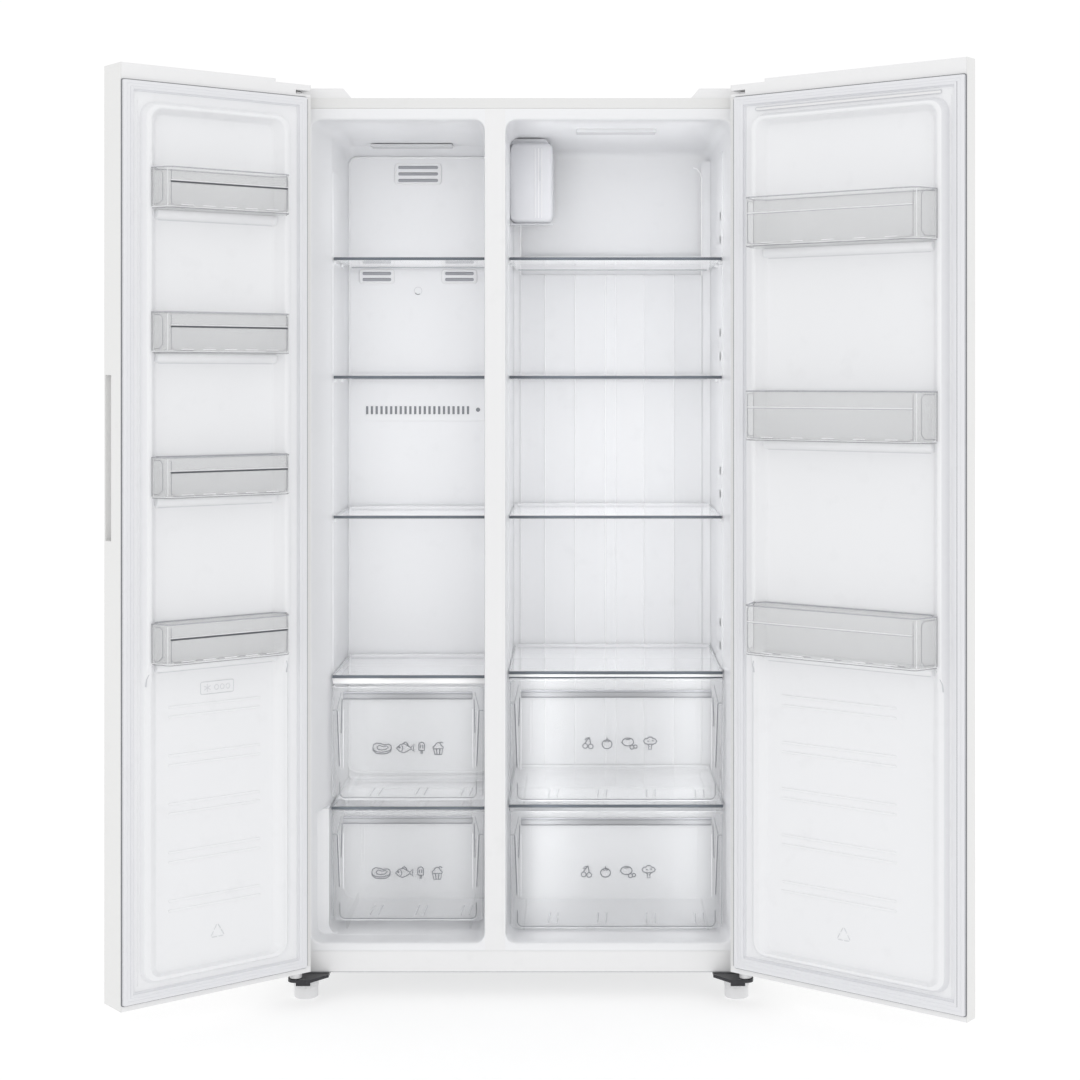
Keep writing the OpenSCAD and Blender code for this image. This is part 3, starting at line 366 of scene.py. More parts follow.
def tube(points, r, key, sides=6, closed=False):
    """A thin round line through points."""
    pts = [Vector(p) for p in points]
    n = len(pts)
    rings = []
    for i, p in enumerate(pts):
        before = pts[(i - 1) % n] if closed or i else p
        after = pts[(i + 1) % n] if closed or i < n - 1 else p
        d = (after - before).normalized() if (after - before).length > 1e-9 else Vector((1, 0, 0))
        side = d.cross(Vector((0, 1, 0)))
        side = side.normalized() if side.length > 1e-3 else Vector((1, 0, 0))
        up = d.cross(side).normalized()
        rings.append([tuple(p + side * r * math.cos(math.tau * k / sides)
                            + up * r * math.sin(math.tau * k / sides)) for k in range(sides)])
    return loft(rings, key, not closed, not closed, closed)


def frame_ring(u0, z0, u1, z1, r, profile, key, marks=()):
    """A closed frame whose section is the profile of (inset, depth) points."""
    rings = []
    for inset, v in profile:
        loop = rrect(u0 + inset, z0 + inset, u1 - inset, z1 - inset, max(r - inset, 0.3), 5, marks)
        rings.append([(p[0], v, p[1]) for p in loop])
    return loft(rings, key, closed=True)


def mix(a, b, t):
    return a + (b - a) * min(max(t, 0.0), 1.0)


def circle(cx, cz, rx, rz, n=14, a0=0, a1=360):
    return [(cx + rx * math.cos(math.radians(a0 + (a1 - a0) * i / n)),
             cz + rz * math.sin(math.radians(a0 + (a1 - a0) * i / n))) for i in range(n + 1)]


# ---- doors ------------------------------------------------------------------------------------

DOOR = {
    "L": dict(w=398.0, u1=361.0, gasket_in=31.0, bins=[1521, 1258, 993, 690], h=76.0, v1=50.0,
              name="freezer", line="bin_line", line_z=28.0),
    "R": dict(w=501.0, u1=467.0, gasket_in=36.0, bins=[1459, 1095, 692], h=94.0, v1=66.0,
              name="fridge", line="clear_bright", line_z=31.0),
}
PANEL = -9.0
U0 = 51.0


def crest_limit(z):
    return 0.0 if z < 650 else 10.0 if z > 684 else (z - 650) / 3.4


def door_liner(side):
    d = DOOR[side]
    w, u1 = d["w"], d["u1"]
    marks = (560, 600, 640, 650, 667, 684, 694, 720, 1000, 1400)
    stations = [
        (8.4, 0, 75.4, 1754.6, 2, PANEL - 2.0), (8.4, 0, 75.4, 1754.6, 2, PANEL),
        (44, 1, 99, 1725, 26, PANEL), (U0 - 1.5, 1, 104, 1719.5, 30, PANEL),
        (U0, 1, 106, 1718, 29, PANEL + 0.8), (U0 + 6.2, 1, 110.5, 1712.5, 25, 7.2),
        (U0 + 7.4, 1, 111.7, 1711, 24, 9.2), (U0 + 9.6, 1, 113, 1709, 23, 10.0),
        (U0 + 14.5, 1, 114.5, 1706.5, 22, 10.0), (U0 + 17, 1, 115.6, 1705, 21, 9.0),
        (U0 + 18.4, 1, 116.3, 1703.6, 20, 7.0), (U0 + 29.5, 1, 119.5, 1697, 16, -7.2),
        (U0 + 32, 1, 121, 1695, 15, -8.7), (U0 + 35, 1, 123.5, 1692.5, 13, PANEL + 0.05)]
    rings = []
    for u, kind, z0, z1, r, v in stations:
        right = (w - u) if kind == 0 else (u1 + U0 - u)
        loop = rrect(u, z0, right, z1, r, 6, marks)
        rings.append([(p[0], min(v, crest_limit(p[1])), p[1]) for p in loop])
    # on the fridge door the ridge's outer slope takes the greyer white as painted shade
    parts = [loft(rings[:5], "liner", True), loft(rings[4:7], "slope" if side == "R" else "liner"),
             loft(rings[6:], "liner", False, True)]
    if side == "R":
        # edges of the strip along the top
        strip = [(p[0], PANEL + 2.1, p[1]) for p in rrect(58.6, 1724.6, 451.4, 1730.4, 1.6, 3)]
        parts.append(tube(strip, 0.6, "emboss", 5, True))
    # soft steps under the bins, each with a grey line of painted shade along its foot
    mark_v = PANEL + 0.2
    for z in d["bins"]:
        lo_u, hi_u = U0 + 25, u1 - 27
        profile = [(0.02, z - 18), (7.0, z - 16.5), (12.5, z - 12.5), (14.0, z - 8), (14.0, z - 4),
                   (12.0, z - 1.2), (0.02, z - 0.6)]
        rings = []
        for k, u in enumerate((lo_u, lo_u + 4, lo_u + 10, hi_u - 10, hi_u - 4, hi_u)):
            grow = (0.1, 0.75, 1.0, 1.0, 0.75, 0.1)[k]
            rings.append([(u, PANEL + out * grow, height) for out, height in profile])
        parts.append(loft(rings, "liner", True, True))
        parts.append(tube([(lo_u + 10, mark_v, z - 18.4), (hi_u - 10, mark_v, z - 18.4)], 0.8, "mark", 5))
    # embossed bars low on the door
    lo_u, hi_u, lo_z, hi_z = (111, 303, 240, 597) if side == "L" else (115, 360, 248, 600)
    for i in range(5):
        z = lo_z + (hi_z - lo_z) * i / 4
        for dz in (-9, 9):
            parts.append(slab((lo_u, PANEL - 0.5, z + dz - 2.4), (hi_u, PANEL + 1.3, z + dz + 2.4), "liner",
                              2.2, 1, 0.8))
    # slanted ends of the upper ridge
    for ua, ub in ((U0 + 16, U0 + 8), (u1 - 16, u1 - 8)):
        parts.append(tube([(ua, 9.0, 688), (ua, 7.4, 684), (ub, 3.5, 664), (ub, 0.6, 650)], 1.7, "emboss", 6))
    # plain embossed marks, drawn as grey lines of painted shade: a triangle of short strokes, and on the
    # freezer a frost mark in a frame
    cu, cz, size = (202 if side == "L" else 250), 176, 17
    corners = [(cu + size * math.sin(math.radians(a)), cz + size * math.cos(math.radians(a)))
               for a in (0, 120, 240)]
    for i in range(3):
        (ua, za), (ub, zb) = corners[i], corners[(i + 1) % 3]
        for lo, hi in ((0.10, 0.46), (0.58, 0.90)):
            ends = [(mix(ua, ub, t), PANEL + 0.3, mix(za, zb, t)) for t in (lo, hi)]
            parts.append(tube(ends, 0.9, "mark", 6))
    if side == "L":
        box = [(p[0], mark_v, p[1]) for p in rrect(168, 623, 237, 646, 3, 3)]
        parts.append(tube(box, 0.8, "mark", 6, True))
        star_u, frost_z, ray = 223, 634.5, 7.5
        for a in (30, 90, 150):
            du, dz = ray * math.cos(math.radians(a)), ray * math.sin(math.radians(a))
            parts.append(tube([(star_u - du, mark_v, frost_z - dz), (star_u + du, mark_v, frost_z + dz)], 0.7,
                              "mark", 5))
        for loop_u in (180, 192, 204):
            loop = [(u, mark_v, z) for u, z in circle(loop_u, frost_z, 4.2, 4.9, 10)][:-1]
            parts.append(tube(loop, 0.7, "mark", 5, True))
    # upright bead beside the free edge
    parts.append(slab((u1 + 2.5, PANEL - 0.5, 104), (u1 + 4.5, PANEL + 1.0, 1720), "liner", 0.9, 1, 0.5))
    build(d["name"] + "_door_liner_moulded", parts, DOOR_BODY[side], side,
          [d["name"] + "_door_liner"])


def gasket(side):
    d = DOOR[side]
    w = d["w"]
    profile = [(0.0, -8.9), (0.0, -6.2), (1.2, -5.4), (3.0, -4.8), (3.2, -3.9), (0.6, -3.4), (0.2, -2.6),
               (0.8, -1.9), (2.4, -1.5), (6.0, -1.5), (6.6, -2.1), (7.2, -1.5), (11.4, -1.5), (12.0, -2.2),
               (12.6, -1.6), (15.6, -1.6), (17.0, -2.4), (17.6, -4.4), (17.2, -5.6), (18.0, -6.4),
               (19.4, -7.2), (20.0, -8.9)]
    rings = []
    inner = d["gasket_in"] - 11.0
    for inset, v in profile:
        k = inset * inner / 20.0
        loop = rrect(11 + k, 75 + k, w - 2 - inset * 1.2, 1754 - inset * 0.95, max(3 - 0.1 * inset, 0.6), 3)
        rings.append([(p[0], v, p[1]) for p in loop])
    parts = [loft(rings, "gasket", closed=True)]
    seam = [(-1.9, -8.8), (-1.9, -7.0), (0.1, -6.8), (0.1, -8.8)]
    parts.append(frame_ring(11, 75, w - 2, 1754, 3, seam, "seam"))
    # grooves beside the hinge and near the free edge, drawn as dark lines of painted shade
    parts.append(tube([(11.4, -2.3, 79), (11.4, -2.3, 1750)], 0.7, "line", 5))
    groove = "line" if side == "R" else "emboss"
    parts.append(tube([(w - 16.4, -2.2, 84), (w - 16.4, -2.2, 1745)], 0.7, groove, 5))
    build(d["name"] + "_gasket_ribbed", parts, DOOR_BODY[side], side,
          [d["name"] + "_gasket"])


def bin_loop(side, inset):
    d = DOOR[side]
    u1, v1 = d["u1"], d["v1"]
    back = [(U0 + 33.5, PANEL + 0.7), (u1 - 33.5, PANEL + 0.7), (u1 - 19.5, 10.9), (u1 - 14, 10.9)]
    taper, r = 11.5, 14.0
    pts = list(back)
    for i in range(7):
        t = math.radians(90 * i / 6)
        pts.append((u1 - 14 - taper - r + r * math.cos(t), v1 - r + r * math.sin(t)))
    for i in range(7):
        t = math.radians(90 + 90 * i / 6)
        pts.append((U0 + 14 + taper + r + r * math.cos(t), v1 - r + r * math.sin(t)))
    pts += [(U0 + 14, 10.9), (U0 + 19.5, 10.9)]
    if not inset:
        return pts
    # move every edge inwards by the inset
    n = len(pts)
    moved = []
    for i in range(n):
        a, b, c = Vector(pts[i - 1]), Vector(pts[i]), Vector(pts[(i + 1) % n])
        n1 = Vector((-(b - a).y, (b - a).x)).normalized()
        n2 = Vector((-(c - b).y, (c - b).x)).normalized()
        m = (n1 + n2)
        m = m.normalized() if m.length > 1e-6 else n1
        k = min(1.0 / max(m.dot(n1), 0.35), 2.0)
        moved.append((b.x + m.x * inset * k, b.y + m.y * inset * k))
    return moved


def door_bin(side, i):
    d = DOOR[side]
    z0, h, v1, u1 = d["bins"][i], d["h"], d["v1"], d["u1"]
    top = z0 + h
    levels = [(4.0, z0), (1.2, z0 + 1.2), (0.0, z0 + 5), (0.0, top - 3), (0.0, top - 0.6), (0.6, top),
              (1.8, top), (2.4, top - 0.8), (2.4, z0 + 7), (4.4, z0 + 3.2)]
    rings = [[(p[0], p[1], z) for p in bin_loop(side, inset)] for inset, z in levels]
    parts = [loft(rings, "bin", True, True)]
    # rim, drawn darker as painted edge shade
    rim = [[(p[0], p[1], z) for p in bin_loop(side, inset)]
           for inset, z in ((0.0, top - 2.2), (0.0, top), (2.5, top), (2.5, top - 2.2))]
    parts.append(loft(rim, "clear_edge", closed=True))
    # decorative line along the front: on the freezer a dark line with a painted highlight above it, on the
    # fridge a painted highlight over a line of painted shade
    z = top - d["line_z"]
    v = v1 + 0.05
    lo_u, hi_u = U0 + 34, u1 - (33 if side == "L" else 35)
    if side == "L":
        parts.append(slab((lo_u, v - 1.2, z - 1.6), (hi_u, v + 0.35, z + 1.6), "bin_line", 1.2, 1, 0.3))
        parts.append(slab((lo_u, v - 1.2, z + 2.0), (hi_u, v + 0.2, z + 3.4), "clear_bright", 0.6, 1, 0.3))
    else:
        parts.append(slab((lo_u, v - 1.2, z - 0.9), (hi_u, v + 0.35, z + 0.9), "clear_bright", 0.7, 1, 0.3))
        parts.append(slab((lo_u, v - 1.2, z - 2.2), (hi_u, v + 0.15, z - 1.2), "clear_edge", 0.4, 1, 0.2))
    # bevelled bracket outlines and uprights in the end walls, which lean inwards, drawn as lines of painted
    # edge shade and painted highlight
    def lean(v):
        return 14.5 + 11.5 * (v - 10.9) / (v1 - 24.9)

    for su, u in ((1, U0), (-1, u1)):
        pts = [(u + su * lean(v), v, z) for v, z in ((16, z0 + 8), (v1 - 24, z0 + 8), (v1 - 16, z0 + 16),
                                                     (v1 - 16, top - 12), (v1 - 22, top - 6), (16, top - 6))]
        parts.append(tube(pts, 0.7, "bin_edge_shade", 5))
        uprights = ((29.5, v1 - 5.0, 5, 4, 0.8, "clear_bright"), (34.5, v1 - 1.2, 6, 6, 0.6, "bin_edge_shade"),
                    (14.8, 12, 4, 1, 0.8, "bin_edge_shade"))
        for across, v, lo, hi, rad, key in uprights:
            parts.append(tube([(u + su * across, v, z0 + lo), (u + su * across, v, top - hi)], rad, key, 5))
        foot = [(u + su * across, v1 - 3, z0 + up) for across, up in ((37, 10), (42, 5), (80, 4.6))]
        parts.append(tube(foot, 0.7, "bin_edge_shade", 5))
    # a painted highlight and a line of painted edge shade along the floor's front edges
    loop = bin_loop(side, 0.1)
    parts.append(tube([(p[0], p[1], z0 + 3.4) for p in loop][3:-1], 0.7, "clear_bright", 5))
    parts.append(tube([(p[0], p[1], z0 + 1.2) for p in bin_loop(side, 1.0)][3:-1], 0.7, "bin_edge_shade", 5))
    # drain slots in the floor, filled dark as painted shade, with a painted highlight strip low on the front
    # wall by each
    for k in range(5):
        u = U0 + 45 + (u1 - U0 - 90) * (k + 0.5) / 5
        parts.append(slab((u - 17, v1 - 24, z0 + 3.1), (u + 17, v1 - 19, z0 + 4.2), "bin_edge_shade", 2, 2, 0.2))
        parts.append(slab((u - 13, v1 - 0.9, z0 + 6.2), (u + 13, v1 + 0.3, z0 + 7.6), "clear_bright",
                          0.6, 1, 0.2))
    name = f"{d['name']}_bin_{i + 1}"
    build(name + "_clear", parts, name, side, [name])


for side in "LR":
    door_liner(side)
    gasket(side)
    for i in range(len(DOOR[side]["bins"])):
        door_bin(side, i)

# ---- compartments ----------------------------------------------------------------------------


def compartment(x_flange, opening, wall, ceiling, floor, low_wall=None):
    """A moulded tub lofted from its flange to its rear wall."""
    x0, x1 = opening
    step_z = 356.6
    marks = (300, step_z, step_z + 0.4, 600, 1200)
    rings = []

    def ring(xa, xb, za, zb, r, d, low=None):
        loop = rrect(xa, za, xb, zb, r, 6, marks)
        pts = []
        for p in loop:
            x = p[0]
            if low is not None and p[1] <= step_z and x < (xa + xb) / 2:
                x = x + low
            pts.append((x, FRONT + d, p[1]))
        rings.append(pts)

    fx0, fx1 = x_flange
    ring(fx0, fx1, 92.4, 1739.6, 0.8, 2.0)
    ring(fx0, fx1, 92.4, 1739.6, 0.8, 0.0)
    # a soft edge, kept clear of the strip between the compartments
    ring(max(x0 - 5, fx0 + 0.05), min(x1 + 5, fx1 - 0.05), 103, 1722, 25, 0.0)
    ring(max(x0 - 2.5, fx0 + 0.25), min(x1 + 2.5, fx1 - 0.25), 105.5, 1719.5, 22.5, 0.5)
    ring(x0 - 0.8, x1 + 0.8, 107.2, 1717.8, 21, 2.0)
    ring(x0, x1, 108, 1717, 20, 4.5)
    stops = [25, 50, 57, 62, 80, 95, 112, 120, 200, 300, 326, 330, 330.5, 334, 360, 397, 420, 500]
    for d in stops:
        xa, xb = wall(d)
        low = low_wall(d) - xa if low_wall else None
        ring(xa, xb, floor(d), ceiling(d), 20, d, low)
    for d, inset in ((508, 2.0), (514, 6.0), (518, 11.0), (520, 18.0)):
        xa, xb = wall(d)
        ring(xa + inset, xb - inset, floor(d) + inset, ceiling(d) - inset, max(20 - inset, 3), d)
    return [loft(rings, "liner", False, True)]


def frz_wall(d):
    return (mix(-410, -384, d / 112), -72.0)


def frz_low(d):
    return mix(-410, -406, d / 57) if d <= 57 else mix(-406, -384, (d - 57) / 5)


def frz_ceiling(d):
    return mix(1717, 1704.5, d / 330) if d <= 330 else mix(1704.5, 1690, (d - 330) / 67)


def fri_wall(d):
    return (-30.0, mix(411, 404, d / 112))


def fri_ceiling(d):
    return 1717 - 4 * min(d / 400, 1)


def room_floor(d):
    return 108.0 if d <= 330 else 340.0


def wall_pad(x, towards, y0, y1, z0, z1, h, r=8.0, key="liner"):
    """A shallow raised pad on a side wall; towards is the side its face looks to."""
    levels = [(0, -0.5), (0, h * 0.45), (0.6, h * 0.85), (1.8, h)]
    rings = []
    for inset, out in levels:
        loop = rrect(y0 + inset, z0 + inset, y1 - inset, z1 - inset, max(r - inset, 0.3), 5)
        rings.append([(x + towards * out, p[0], p[1]) for p in loop])
    return loft(rings, key, True, True)


FRZ_Z = [1456, 1217, 935, 617, 357]
FRI_Z = [1456, 1217, 935, 625, 361]
SHELF_D0 = [120, 120, 120, 95, 80]
GLASS = 6.0


def lugs(x, towards, tops):
    """Small moulded supports under each shelf."""
    parts = []
    for z, d0 in zip(tops, SHELF_D0):
        zt = z - GLASS - 0.4
        for d in (max(d0 + 14, 114), 250):
            parts.append(slab((min(x - towards, x + towards * 6), FRONT + d, zt - 7),
                              (max(x - towards, x + towards * 6), FRONT + d + 34, zt), "liner", 2, 2, 0.8))
        for dz in (30, 78):
            parts.append(wall_pad(x, towards, FRONT + 170, FRONT + 196, z + dz, z + dz + 20, 1.6, 4))
    return parts


frz_parts = compartment((-442.6, -70.75), (-410, -72), frz_wall, frz_ceiling, room_floor, frz_low)
frz_parts += lugs(-384, 1, FRZ_Z)
frz_parts += lugs(-72, -0.4, FRZ_Z)
frz_parts.append(wall_pad(-384, 1, FRONT + 128, FRONT + 318, 364, 1630, 1.4, 12))
build("freezer_liner_moulded", frz_parts, "cabinet", "C", ["freezer_liner"])

fri_parts = compartment((-31.25, 442.6), (-30, 411), fri_wall, fri_ceiling, room_floor)
fri_parts += lugs(404, -1, FRI_Z)
fri_parts += lugs(-30, 0.6, FRI_Z)
fri_parts.append(wall_pad(404, -1, FRONT + 128, FRONT + 310, 372, 1672, 1.6, 16))
fri_parts.append(wall_pad(-30, 1, FRONT + 128, FRONT + 310, 372, 1520, 1.2, 16))
build("fridge_liner_moulded", fri_parts, "cabinet", "C", ["fridge_liner"])

# fluted duct cover behind the fridge's shelves, from beads and shallow hollows, with glowing near-white tubes
# on the beads and coves as painted highlights
BEADS = [-15, 39, 105, 172, 195, 257, 323, 384]


def duct_profile():
    pts = []
    base = FRONT + 497
    for a, b in zip(BEADS, BEADS[1:]):
        steps = 8
        depth = min(5.0, (b - a) * 0.07)
        pts += [(a - 1.6, base - 0.2), (a - 0.8, base - 1.5), (a + 0.8, base - 1.5), (a + 1.6, base - 0.2)]
        for i in range(steps + 1):
            t = i / steps
            pts.append((a + 2.4 + (b - a - 4.8) * t, base + depth * 4 * t * (1 - t) * 0.5))
    a = BEADS[-1]
    pts += [(a - 1.6, base - 0.2), (a - 0.8, base - 1.5), (a + 0.8, base - 1.2), (a + 1.6, base + 0.4)]
    return pts


profile = duct_profile()
outline = profile + [(BEADS[-1], FRONT + 519.5), (BEADS[0], FRONT + 519.5)]
rings = [[(x, y, z) for x, y in outline] for z in (361, 1437)]
rings.append([(x, min(y + 1.2, FRONT + 519.6), 1440) for x, y in outline])
parts = [loft(rings, "liner", True, True)]
# painted highlights: glowing near-white tubes along the beads, and along the coves at both rear corners
for x in BEADS[1:-1]:
    parts.append(tube([(x, FRONT + 495.6, 364), (x, FRONT + 495.6, 1438)], 0.7, "bead", 5))
for x, turn in ((BEADS[0], 1), (BEADS[-1], -1)):
    bead = [(0, 497.2, 364), (0, 497.2, 1652), (3, 497.6, 1664), (10, 498, 1673), (18, 498, 1676)]
    parts.append(tube([(x + turn * dx, FRONT + d, z) for dx, d, z in bead], 1.2, "bead", 6))
parts.append(slab((-29, FRONT + 503.5, 1436), (403, FRONT + 519, 1482), "liner", 3, 0, 2.0))
for xa, xb in ((-29.8, BEADS[0] + 1), (403.6, BEADS[-1] - 1)):
    cove = [(xa, FRONT + 492.5), (mix(xa, xb, 0.35), FRONT + 496.2), (xb, FRONT + 498.6), (xb, FRONT + 502),
            (xa, FRONT + 502)]
    parts.append(loft([[(x, y, z) for x, y in cove] for z in (361, 1690)], "liner", True, True))
build("fridge_duct_cover_fluted", parts, "cabinet", "C", ["fridge_duct_cover"])

# damper box: a soft-cornered cover in the fridge's rear top left corner
rings = []
for inset, d in ((0.0, 500), (0.0, 262), (0.6, 256), (2.2, 251), (6.0, 247.5), (10.0, 246.5)):
    # the underside rises towards the rear
    loop = rrect(-29.5, 1533 + inset + (24 if d == 500 else 0), 59 - inset, 1703 - inset, 14, 5)
    rings.append([(max(p[0], -29.5), FRONT + d, p[1]) for p in loop])
parts = [loft(rings, "damper", True, True),
         slab((-29.5, FRONT + 243, 1531), (61, FRONT + 262, 1533.5), "damper", 3, 2, 0.8)]
parts.append(slab((-29.6, FRONT + 262, 1664), (50, FRONT + 498, 1712.4), "damper", 12, 1, 2.0))
for x in (22, 29, 36):
    parts.append(slab((x - 0.6, FRONT + 245.4, 1545), (x + 0.6, FRONT + 246.8, 1690), "trim", 0.5, 1, 0.2))
parts.append(slab((32, FRONT + 244.8, 1622), (35, FRONT + 246.8, 1650), "emboss", 1.2, 1, 0.3))
build("damper_box_moulded", parts, "cabinet", "C", ["damper_box"])

# the freezer's rear cover: a lip round its edge, pale frames and grey louvres in its vents, whose grey is
# painted shade of the slots
face = FRONT + 397
rings = []
for i, v in ((0.2, face + 2), (0.2, face - 0.9), (1.2, face - 1.8), (3.6, face - 1.8), (5.0, face - 0.2),
             (5.0, face + 2)):
    loop = rrect(-384 + i, 359.5 + i, -72.2 - i, 1690 - i, max(20 - i, 1), 5)
    rings.append([(q[0], v, q[1]) for q in loop])
parts = [loft(rings, "liner", closed=True)]
vents = [(-233, 43, (1638, 1652, 1666), 1652), (-322, 31, (1424.5, 1437.5), 1431),
         (-144, 31, (1424.5, 1437.5), 1431)]
for cx, half, rows, mid in vents:
    tall = (rows[-1] - rows[0]) / 2 + 8.5
    ring = []
    for i, v in ((-1.0, face + 0.5), (-1.0, face - 1.2), (0.2, face - 2.2), (1.8, face - 2.2),
                 (2.6, face - 1.2), (2.6, face + 0.5)):
        loop = rrect(cx - half - 6 + i, mid - tall + i, cx + half + 6 - i, mid + tall - i, 7 - i, 4)
        ring.append([(q[0], v, q[1]) for q in loop])
    parts.append(loft(ring, "white_part", closed=True))
    # a grey outline of painted shade round each frame
    loop = rrect(cx - half - 7.4, mid - tall - 0.4, cx + half + 7.4, mid + tall + 0.4, 7.4, 4)
    parts.append(tube([(q[0], face - 0.7, q[1]) for q in loop], 0.6, "mark", 5, True))
    for z in rows:
        parts.append(slab((cx - half + 0.2, face + 1.4, z - 3.3), (cx + half - 0.2, face + 2.6, z + 3.3),
                          "louvre", 2.6, 1, 0.3))
        # a dark line of painted shade along each louvre's top edge
        parts.append(tube([(cx - half + 1, face + 0.9, z + 2.9), (cx + half - 1, face + 0.9, z + 2.9)], 0.5,
                          "line", 5))
# the grille's slots, filled with dark slabs as painted shade
for k in range(22):
    x = -343 + k * 10.35
    parts.append(slab((x - 2.4, face + 1.2, 1134.4), (x + 2.4, face + 2.4, 1151.6), "slot", 0.5, 1, 0.2))
parts.append(slab((-345, face - 0.5, 1118.6), (-76, face + 0.2, 1120.4), "liner", 0.5, 0, 0.2))
# a grey ring and a dark crescent of painted shade round the fan's cap
cap = circle(-233, 1400, 8.2, 8.2, 20)
parts.append(tube([(x, face - 1.2, z) for x, z in cap], 0.6, "emboss", 5))
parts.append(tube([(x, face - 1.6, z) for x, z in circle(-233, 1400, 7.6, 7.6, 8, 215, 300)], 0.9, "line", 5))
screw = [(-104 + 4.6 * math.cos(math.tau * k / 16), face + 0.2, 1144 + 4.6 * math.sin(math.tau * k / 16))
         for k in range(16)]
parts.append(loft([screw, [(p[0], face + 1.2, p[2]) for p in screw]], "slot", True, True))
build("evaporator_cover_trim", parts, "cabinet")

# ---- shelves and drawers -----------------------------------------------------------------------


def glass_shelf(name, x0, x1, d0, d1, z, trim=None):
    y0, y1 = FRONT + d0, FRONT + d1
    zb = z - GLASS
    levels = [(0.8, zb), (0, zb + 0.8), (0, z - 0.8), (0.8, z)]
    rings = [[(p[0], p[1], h) for p in rrect(x0 + i, y0 + i, x1 - i, y1 - i, 4 - i, 3)] for i, h in levels]
    parts = [loft(rings, "glass", True, True)]
    # polished front edge, and paler ones at the sides and the rear
    parts.append(slab((x0 + 1, y0 - 0.0, zb + 0.1), (x1 - 1, y0 + 3.2, z - 0.1), "glass_edge", 0.7, 0, 0.5))
    for x in (x0 + 0.2, x1 - 2.2):
        parts.append(slab((x, y0 + 3, zb + 0.4), (x + 2.0, y1 - 2, z - 0.2), "glass_rim", 0.7, 1, 0.4))
    if trim == "gap":
        parts.append(slab((x0 + 2, y0 + 5, zb - 12), (x1 - 2, y0 + 9, zb - 0.2), "trim", 1.0, 0, 0.6))
    if trim == "band":
        parts.append(slab((x0 + 1, y0 + 0.6, zb - 5.5), (x1 - 1, y0 + 6, zb - 0.2), "trim", 0.8, 0, 0.5))
        parts.append(slab((x0 + 1, y0 + 0.2, zb - 8), (x1 - 1, y0 + 5, zb - 5.8), "glass_edge", 0.6, 0, 0.4))
    # the lowest shelf has a drawer on it, so its rear rim stays below the glass
    rim = z + 2.4 if z > 400 else z - 0.2
    # the rear rim is drawn as a painted highlight, with a pale rim line below it
    parts.append(slab((x0 + 6, y1 - 5.0, zb - 1.6), (x1 - 6, y1 - 0.6, rim), "clear_bright", 1.2, 0, 0.6))
    parts.append(slab((x0 + 8, y1 - 6.2, zb - 1.0), (x1 - 8, y1 - 4.8, zb + 0.8), "glass_rim", 0.5, 0, 0.3))
    build(name + "_glass", parts, name, "C", [name])


for i in range(5):
    glass_shelf(f"freezer_shelf_{i + 1}", -382, -74, SHELF_D0[i], 388, FRZ_Z[i], "gap" if i == 3 else None)
    glass_shelf(f"fridge_shelf_{i + 1}", -28, 402, SHELF_D0[i], 490, FRI_Z[i], "band" if i == 3 else None)


# plain food pictograms, each a list of strokes in a field of about 30 by 20
STEAK = [[(-16, 1), (-15, 6), (-10, 9), (-3, 8), (4, 6), (11, 7), (15, 5), (16, 0), (13, -4), (6, -6),
          (-2, -7), (-10, -6), (-15, -3), (-16, 1)],
         [(-16, 1), (-16, -4), (-10, -9), (0, -10), (9, -9), (15, -5), (16, 0)],
         [(-9, 2), (-5, 5), (1, 3), (7, 4), (11, 2), (6, -2), (-1, -3), (-7, -2), (-9, 2)]]
FISH = [[(-15, 0), (-9, 6), (-2, 8), (5, 4), (10, 1), (16, 7), (14, 0), (16, -6), (10, -1), (4, -5), (-3, -8),
         (-10, -5), (-15, 0)],
        [(-4, 8), (0, 11), (4, 8), (5, 4)], circle(-10, 1.5, 1.2, 1.2, 8), [(-6, 5), (-4, 0), (-6, -5)]]
LOLLY = [[(-5, -4), (-5, 7), (-3, 10), (0, 11), (3, 10), (5, 7), (5, -4), (-5, -4)],
         [(-1.2, -4), (-1.2, -10), (1.2, -10), (1.2, -4)], [(-2, 0), (-2, 6)], [(2, 0), (2, 6)]]
CAKE = [[(-8, -1), (-6, -11), (6, -11), (8, -1), (-8, -1)],
        [(-8, -1), (-9, 2), (-5, 5), (-4, 8), (0, 10), (4, 8), (5, 5), (9, 2), (8, -1)],
        [(-3, -1), (-2, -11)], [(3, -1), (2, -11)], [(2, 9), (5, 11), (9, 9)]]
CHERRY = [circle(-5, -5, 4.4, 4.4), circle(5, -6, 4.4, 4.4), [(-5, 0), (-1, 6), (3, 10)],
          [(5, -2), (4, 5), (3, 10)], [(3, 10), (-3, 9), (-6, 6), (-1, 6), (3, 10)]]
TOMATO = [circle(0, -2, 9, 8, 18), [(-6, 5), (-2, 2), (0, 5), (2, 2), (6, 5)], [(0, 5), (0, 10)]]
LEMON = [circle(-2, 2, 10, 7, 18), [(-12, 2), (-14, 1)], circle(5, -7, 3.6, 3.6), circle(11, -6, 3, 3),
         [(-6, 6), (2, 7)]]
BROCCOLI = [[(-10, 0), (-12, 4), (-9, 8), (-5, 8), (-3, 11), (3, 11), (5, 8), (9, 8), (12, 4), (10, 0),
             (5, -2), (-5, -2), (-10, 0)],
            [(-4, -2), (-2, -6), (-3, -11), (3, -11), (2, -6), (4, -2)], [(-5, 4), (-2, 3)], [(3, 5), (6, 4)]]


